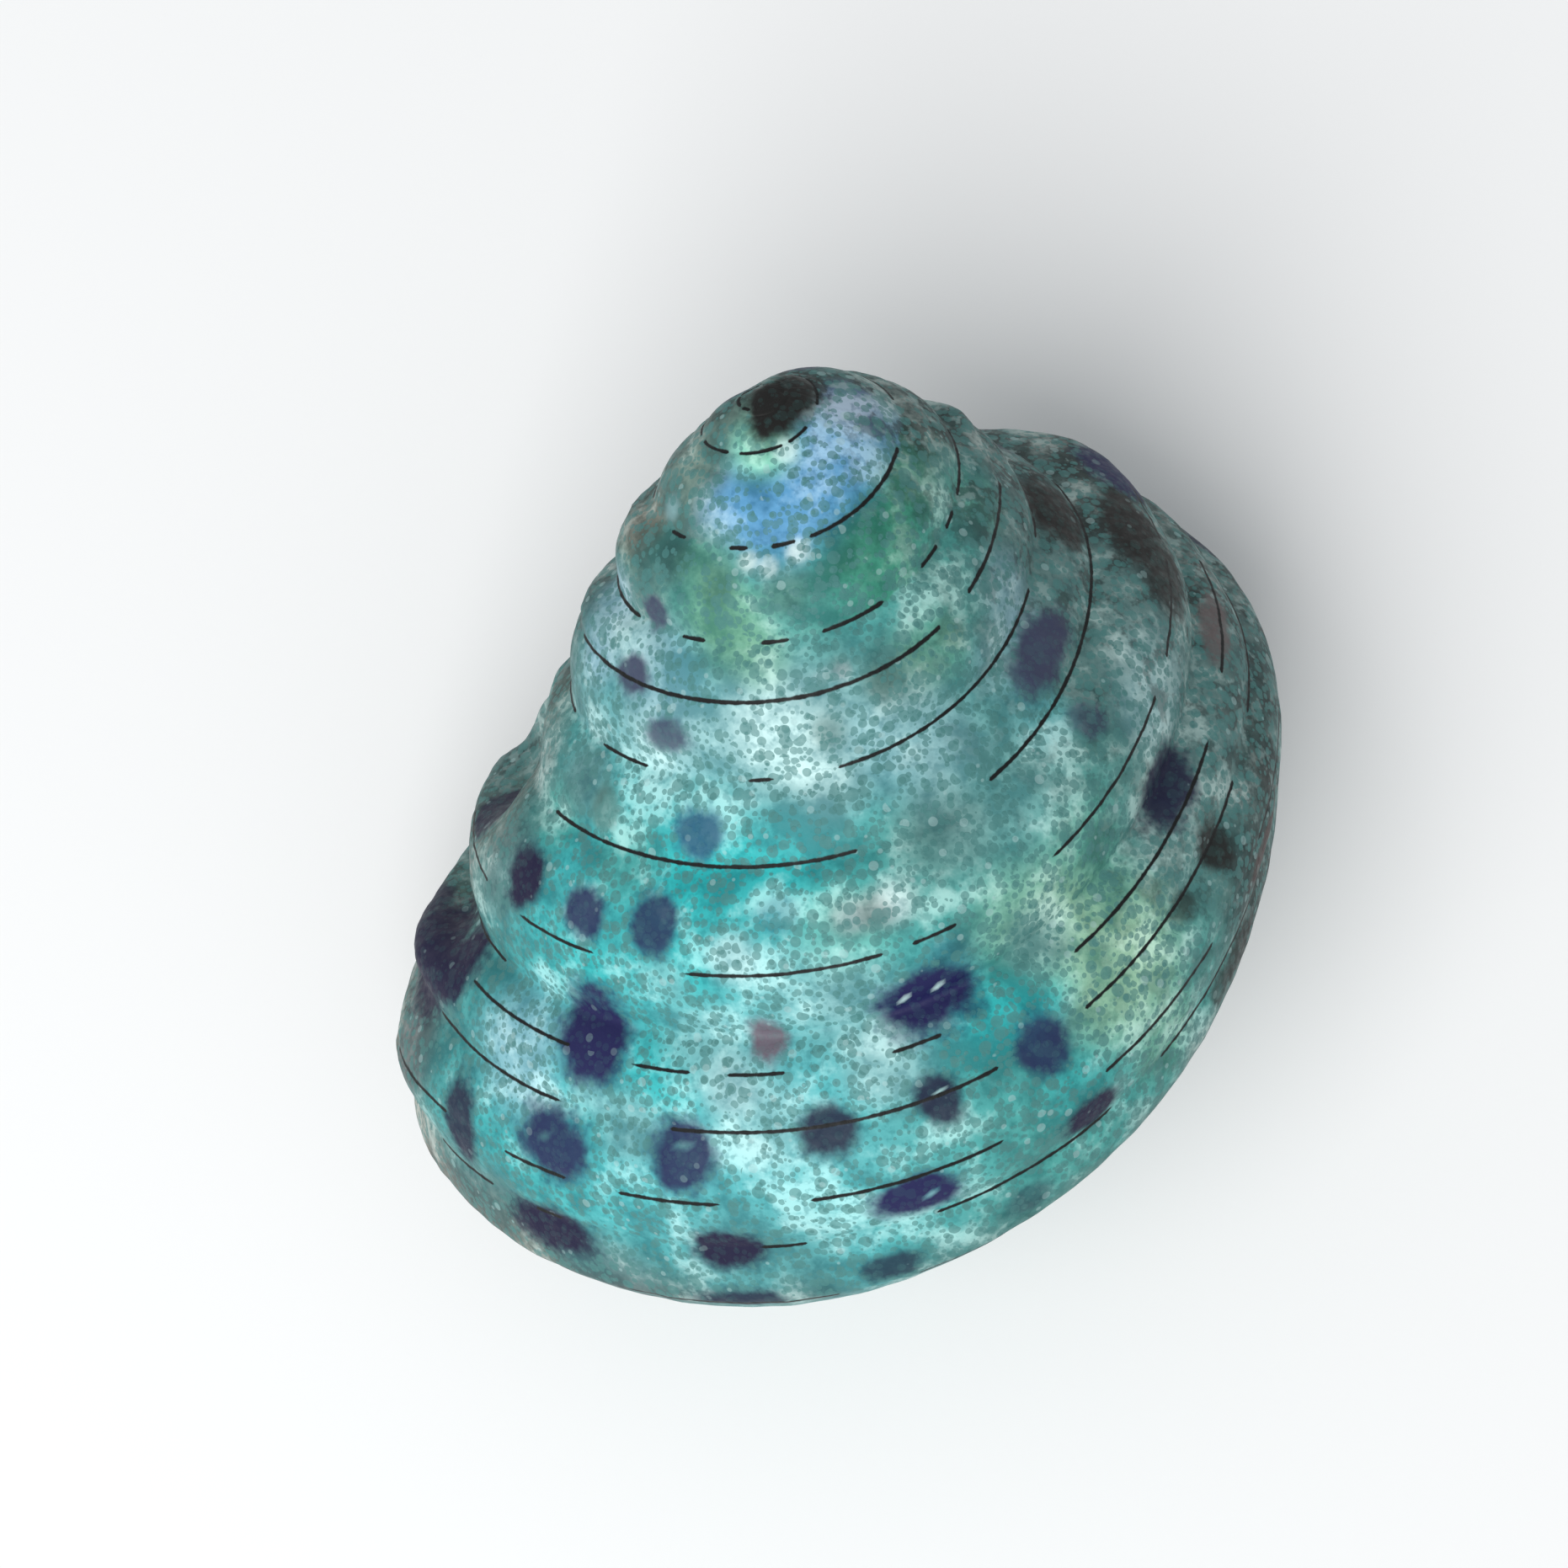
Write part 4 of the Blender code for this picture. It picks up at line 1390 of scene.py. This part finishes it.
class Nodes:
    """Adds and links shader nodes in one tree."""

    def __init__(self, tree: bpy.types.NodeTree) -> None:
        """Start on a tree."""
        self.tree = tree

    def add(self, kind: str, **inputs) -> bpy.types.Node:
        """Add a node, with values or links for its named inputs.

        Args:
            kind: The node's type.
            inputs: A value or a socket for each input, with spaces as underscores.
        Returns:
            The new node.
        """
        node = self.tree.nodes.new(kind)
        for name, value in inputs.items():
            self.feed(node.inputs[name.replace("_", " ")], value)
        return node

    def feed(self, socket: bpy.types.NodeSocket, value) -> None:
        """Set an input, or link a socket to it."""
        if isinstance(value, bpy.types.NodeSocket):
            self.tree.links.new(value, socket)
        else:
            socket.default_value = value

    def maths(self, operation: str, first, second=0.0, clamp: bool = False):
        """The result of a sum on two numbers or sockets."""
        node = self.tree.nodes.new("ShaderNodeMath")
        node.operation = operation
        node.use_clamp = clamp
        self.feed(node.inputs[0], first)
        self.feed(node.inputs[1], second)
        return node.outputs[0]

    def ramp(self, value, fade: Fade):
        """A value eased from one range to another."""
        node = self.add("ShaderNodeMapRange", Value=value, From_Min=fade.low, From_Max=fade.high,
                        To_Min=fade.start, To_Max=fade.end)
        node.interpolation_type = "SMOOTHSTEP"
        return node.outputs["Result"]

    def ruffled(self, value, noise, amount: float):
        """A value that wanders with noise, by up to half of the amount each way."""
        wander = self.maths("MULTIPLY", self.maths("SUBTRACT", noise, 0.5), amount)
        return self.maths("ADD", value, wander)

    def mix(self, share, first, second, blend: str = "MIX"):
        """Two colours mixed. The node has its colours at inputs 6 and 7 and output 2."""
        node = self.tree.nodes.new("ShaderNodeMix")
        node.data_type = "RGBA"
        node.blend_type = blend
        self.feed(node.inputs[0], share)
        self.feed(node.inputs[6], first)
        self.feed(node.inputs[7], second)
        return node.outputs[2]

    def between(self, share, first, second):
        """Two numbers mixed. The node has its numbers at inputs 2 and 3 and output 0."""
        node = self.tree.nodes.new("ShaderNodeMix")
        self.feed(node.inputs[0], share)
        self.feed(node.inputs[2], first)
        self.feed(node.inputs[3], second)
        return node.outputs[0]

    def noise(self, coordinates, pattern: Pattern):
        """Even noise between 0 and 1."""
        node = self.add("ShaderNodeTexNoise", Vector=coordinates, Scale=pattern.scale,
                        Detail=pattern.detail, Roughness=pattern.rough)
        return node.outputs["Fac"]

    def attribute(self, name: str, output: str = "Fac"):
        """A named attribute of the mesh, as a number, a colour or that colour's strength."""
        node = self.tree.nodes.new("ShaderNodeAttribute")
        node.attribute_name = name
        return node.outputs[output]


@dataclass(frozen=True)
class Speckle:
    """A group of nodes that scatters small round dots, crisp at their edges."""

    sizes: Fade = Fade(0.0, 1.0, 0.55, 1.25)
    crispness: float = 22.0

    def build(self) -> bpy.types.NodeTree:
        """The group, which takes a place, a scale, a radius and a share of the cells."""
        group = bpy.data.node_groups.new("speckle", "ShaderNodeTree")
        for name, kind in (("Vector", "NodeSocketVector"), ("Scale", "NodeSocketFloat"),
                           ("Radius", "NodeSocketFloat"), ("Share", "NodeSocketFloat")):
            group.interface.new_socket(name, in_out="INPUT", socket_type=kind)
        group.interface.new_socket("Dots", in_out="OUTPUT", socket_type="NodeSocketFloat")
        nodes = Nodes(group)
        given = group.nodes.new("NodeGroupInput").outputs
        cell = nodes.add("ShaderNodeTexVoronoi", Vector=given["Vector"], Scale=given["Scale"],
                         Randomness=1.0).outputs
        parts = nodes.add("ShaderNodeSeparateColor", Color=cell["Color"]).outputs
        size = nodes.maths("MULTIPLY", nodes.ramp(parts["Red"], self.sizes), given["Radius"])
        edge = nodes.maths("SUBTRACT", size, cell["Distance"])
        dot = nodes.maths("MULTIPLY", edge, self.crispness, clamp=True)
        kept = nodes.maths("LESS_THAN", parts["Green"], given["Share"])
        nodes.add("NodeGroupOutput", Dots=nodes.maths("MULTIPLY", dot, kept))
        return group

    def spread(self, nodes: Nodes, group: bpy.types.NodeTree, place, dots: Dots):
        """The mask of one layer of dots.

        Args:
            nodes: The material's nodes.
            group: The group from build.
            place: Where the pattern is read.
            dots: The layer.
        Returns:
            1 inside a dot and 0 outside.
        """
        node = nodes.tree.nodes.new("ShaderNodeGroup")
        node.node_tree = group
        for name, value in (("Vector", place), ("Scale", dots.scale), ("Radius", dots.radius),
                            ("Share", dots.share)):
            nodes.feed(node.inputs[name], value)
        return node.outputs["Dots"]


@dataclass(frozen=True)
class ShellFinish:
    """The painted outside, the pearly inside and the worn spots."""

    cloud: Pattern = Pattern(300.0, 5.0, 0.6)
    grain: Pattern = Pattern(2600.0)
    shade_tint: tuple = (0.32, 0.50, 0.53, 1.0)
    shaded: Fade = Fade(0.48, 0.64, 0.0, 0.9)
    grain_shaded: Fade = Fade(0.50, 0.68, 0.0, 0.45)
    light_tint: tuple = (0.27, 0.31, 0.29, 1.0)
    lit: Fade = Fade(0.50, 0.34)
    # Dark smoky clouds, partly the shell's clouded pattern and partly painted shade on the side away from
    # the light.
    smoke_shade: tuple = (0.014, 0.030, 0.028, 1.0)
    smoke_pattern: Pattern = Pattern(620.0, 5.0, 0.62)
    smoked: Fade = Fade(0.49, 0.58, 0.0, 0.8)
    fleck: tuple = (0.300, 0.440, 0.420, 1.0)
    fleck_pattern: Pattern = Pattern(900.0, 4.0)
    flecked: Fade = Fade(0.54, 0.64, 0.0, 0.55)
    spot_pattern: Pattern = Pattern(750.0)
    spot_ruffle: float = 0.50
    spot_grain: float = 0.16
    spot_edge: Fade = Fade(0.14, 0.58)
    veil: tuple = (0.062, 0.200, 0.190, 1.0)
    large_dots: Dots = Dots(1900.0, 0.47, 0.76, 0.66)
    small_dots: Dots = Dots(3200.0, 0.47, 0.74, 0.62)
    dots_on_spots: Fade = Fade(0.0, 1.0, 1.0, 0.12)
    pale_veil: tuple = (0.380, 0.560, 0.550, 1.0)
    pale_dots: Dots = Dots(1700.0, 0.30, 0.24, 0.36)
    pale_on_spots: Fade = Fade(0.0, 1.0, 1.0, 0.45)
    line_colour: tuple = (0.004, 0.005, 0.005, 1.0)
    line_ruffle: float = 0.20
    line_edge: Fade = Fade(0.78, 0.90)
    pearl: tuple = (0.62, 0.63, 0.56, 1.0)
    pearl_pattern: Pattern = Pattern(120.0)
    pearl_blue: tuple = (0.42, 0.58, 0.60, 1.0)
    bluish: Fade = Fade(0.45, 0.62)
    pearl_rose: tuple = (0.66, 0.50, 0.48, 1.0)
    rosy: Fade = Fade(0.45, 0.33, 0.0, 0.6)
    pearl_ruffle: float = 0.4
    pearl_edge: Fade = Fade(0.30, 0.62)
    chalk: tuple = (0.58, 0.58, 0.52, 1.0)
    chalk_ruffle: float = 0.5
    chalk_edge: Fade = Fade(0.45, 0.65, 0.0, 0.8)
    specular: float = 0.25
    roughness: Fade = Fade(0.3, 0.7, 0.49, 0.63)
    pearl_roughness: float = 0.28
    bump_height: float = 0.00006
    bump_strength: float = 0.5
    grain_bump: float = 0.8
    dot_bump: float = 0.25
    bump_on_pearl: Fade = Fade(0.0, 1.0, 1.0, 0.15)

    def ground(self, nodes: Nodes, place, grain):
        """The washes, clouded lighter and darker, with dark smoky clouds and flecks where it is mottled;
        the clouds are strongest on the side away from the light, as painted shade.
        """
        ground = nodes.attribute("ground", "Color")
        shade = nodes.mix(1.0, ground, self.shade_tint, "MULTIPLY")
        bright = nodes.mix(1.0, ground, self.light_tint, "ADD")
        cloud = nodes.noise(place, self.cloud)
        colour = nodes.mix(nodes.ramp(cloud, self.shaded), ground, shade)
        colour = nodes.mix(nodes.ramp(cloud, self.lit), colour, bright)
        colour = nodes.mix(nodes.ramp(grain, self.grain_shaded), colour, shade)
        # Painted shade: this mask makes the dark clouds strongest on the side away from the light.
        mottle_and_shade = nodes.attribute("mottle_and_shade")
        for pattern, fade, tint in ((self.smoke_pattern, self.smoked, self.smoke_shade),
                                    (self.fleck_pattern, self.flecked, self.fleck)):
            share = nodes.ramp(nodes.noise(place, pattern), fade)
            colour = nodes.mix(nodes.maths("MULTIPLY", share, mottle_and_shade), colour, tint)
        return colour

    def spots(self, nodes: Nodes, place, grain):
        """How much of each spot's colour shows, with a ruffled edge."""
        deep = nodes.ruffled(nodes.attribute("spot_depth"), grain, self.spot_grain)
        deep = nodes.ruffled(deep, nodes.noise(place, self.spot_pattern), self.spot_ruffle)
        strength = nodes.attribute("spot_colour", "Alpha")
        return nodes.maths("MULTIPLY", nodes.ramp(deep, self.spot_edge), strength)

    def dots(self, nodes: Nodes, place, spots, colour) -> tuple:
        """The colour under three layers of dots, which are thinner on the spots.

        Args:
            nodes: The material's nodes.
            place: Where the pattern is read.
            spots: How much of the spots shows.
            colour: The colour below.
        Returns:
            The colour, and the mask of the small dots.
        """
        speckle = Speckle()
        group = speckle.build()
        masks = [speckle.spread(nodes, group, place, dots)
                 for dots in (self.small_dots, self.large_dots, self.pale_dots)]
        for mask, strength, fade, tint in (
                (masks[1], self.large_dots.strength, self.dots_on_spots, self.veil),
                (masks[0], self.small_dots.strength, self.dots_on_spots, self.veil),
                (masks[2], self.pale_dots.strength, self.pale_on_spots, self.pale_veil)):
            share = nodes.maths("MULTIPLY", nodes.maths("MULTIPLY", mask, strength),
                                nodes.ramp(spots, fade))
            colour = nodes.mix(share, colour, tint)
        return colour, masks[0]

    def nacre(self, nodes: Nodes, place):
        """The colour of the pearly inside."""
        sheen = nodes.noise(place, self.pearl_pattern)
        pearl = nodes.mix(nodes.ramp(sheen, self.bluish), self.pearl, self.pearl_blue)
        return nodes.mix(nodes.ramp(sheen, self.rosy), pearl, self.pearl_rose)

    def edged(self, nodes: Nodes, name: str, grain, ruffle: float, fade: Fade):
        """How much of a marking shows, with an edge ruffled by the grain.

        Args:
            nodes: The material's nodes.
            name: The marking's attribute.
            grain: Noise between 0 and 1.
            ruffle: How far the edge wanders.
            fade: How the edge fades.
        Returns:
            The marking's share at each point.
        """
        return nodes.ramp(nodes.ruffled(nodes.attribute(name), grain, ruffle), fade)

    def build(self) -> bpy.types.Material:
        """The shell's material."""
        material = bpy.data.materials.new("painted shell")
        material.use_nodes = True
        nodes = Nodes(material.node_tree)
        shader = nodes.tree.nodes["Principled BSDF"]
        place = nodes.tree.nodes.new("ShaderNodeTexCoord").outputs["Object"]
        grain = nodes.noise(place, self.grain)
        spots = self.spots(nodes, place, grain)
        colour = nodes.mix(spots, self.ground(nodes, place, grain),
                           nodes.attribute("spot_colour", "Color"))
        colour, small = self.dots(nodes, place, spots, colour)
        line = self.edged(nodes, "line", grain, self.line_ruffle, self.line_edge)
        colour = nodes.mix(line, colour, self.line_colour)
        inner = self.edged(nodes, "nacre", grain, self.pearl_ruffle, self.pearl_edge)
        colour = nodes.mix(inner, colour, self.nacre(nodes, place))
        worn = self.edged(nodes, "worn", grain, self.chalk_ruffle, self.chalk_edge)
        nodes.feed(shader.inputs["Base Color"], nodes.mix(worn, colour, self.chalk))
        nodes.feed(shader.inputs["Specular IOR Level"], self.specular)
        rough = nodes.between(inner, nodes.ramp(grain, self.roughness), self.pearl_roughness)
        nodes.feed(shader.inputs["Roughness"], rough)
        relief = nodes.maths("ADD", nodes.maths("MULTIPLY", grain, self.grain_bump),
                             nodes.maths("MULTIPLY", small, self.dot_bump))
        relief = nodes.maths("MULTIPLY", relief, nodes.ramp(inner, self.bump_on_pearl))
        bump = nodes.add("ShaderNodeBump", Distance=self.bump_height, Height=relief,
                         Strength=self.bump_strength)
        nodes.feed(shader.inputs["Normal"], bump.outputs["Normal"])
        return material


@dataclass
class Studio:
    """The pale floor, the soft light and the camera."""

    sight: Sight
    floor_size: float = 1.2
    floor_colour: tuple = (0.86, 0.86, 0.85, 1.0)
    floor_roughness: float = 0.8
    light_place: tuple = (-0.12, -0.22, 0.42)
    light_size: float = 0.45
    light_power: float = 2.1
    sky: tuple = (0.93, 0.96, 1.0, 1.0)
    sky_strength: float = 0.55
    near_clip: float = 0.01

    def floor(self) -> None:
        """A plain pale floor under the shell."""
        mesh = bmesh.new()
        bmesh.ops.create_grid(mesh, x_segments=1, y_segments=1, size=self.floor_size / 2.0)
        floor = add_object("floor", mesh)
        material = bpy.data.materials.new("pale floor")
        material.use_nodes = True
        shader = material.node_tree.nodes["Principled BSDF"]
        shader.inputs["Base Color"].default_value = self.floor_colour
        shader.inputs["Roughness"].default_value = self.floor_roughness
        floor.data.materials.append(material)

    def light(self) -> None:
        """One large soft lamp above and to the left, and an even sky."""
        lamp = bpy.data.lights.new("soft lamp", "AREA")
        lamp.size = self.light_size
        lamp.energy = self.light_power
        item = bpy.data.objects.new("soft lamp", lamp)
        bpy.context.scene.collection.objects.link(item)
        item.location = self.light_place
        item.rotation_euler = Vector(self.light_place).to_track_quat("Z", "Y").to_euler()
        world = bpy.data.worlds.new("even sky")
        world.use_nodes = True
        back = world.node_tree.nodes["Background"]
        back.inputs["Color"].default_value = self.sky
        back.inputs["Strength"].default_value = self.sky_strength
        bpy.context.scene.world = world
        bpy.context.scene.view_settings.view_transform = "Standard"

    def camera(self) -> None:
        """The camera, looking down on the spire as the photograph does."""
        data = bpy.data.cameras.new("camera")
        data.lens = self.sight.lens
        data.sensor_width = self.sight.sensor
        data.clip_start = self.near_clip
        item = bpy.data.objects.new("camera", data)
        bpy.context.scene.collection.objects.link(item)
        item.location = self.sight.place
        item.rotation_euler = self.sight.rotation()
        bpy.context.scene.camera = item

    def build(self) -> None:
        """Set up the whole studio."""
        self.floor()
        self.light()
        self.camera()


def main() -> None:
    """Dress the shell and set up the studio."""
    logging.basicConfig(level=logging.INFO)
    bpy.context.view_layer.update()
    spiral, pose, sight = Spiral(), Pose(), Sight()
    whorls = Whorls(spiral)
    painter = Painter(whorls, pose, sight, Markings())
    shell = Shell(spiral, pose, whorls, Mouth(spiral), Relief(), painter).build()
    shell.data.materials.clear()
    shell.data.materials.append(ShellFinish().build())
    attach(shell, "root")
    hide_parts(NODE)
    LOG.info("shell: %d vertices, %d faces", len(shell.data.vertices), len(shell.data.polygons))
    Studio(sight).build()
    LOG.info("studio: floor, lamp, sky and camera")


if __name__ == "__main__":
    main()
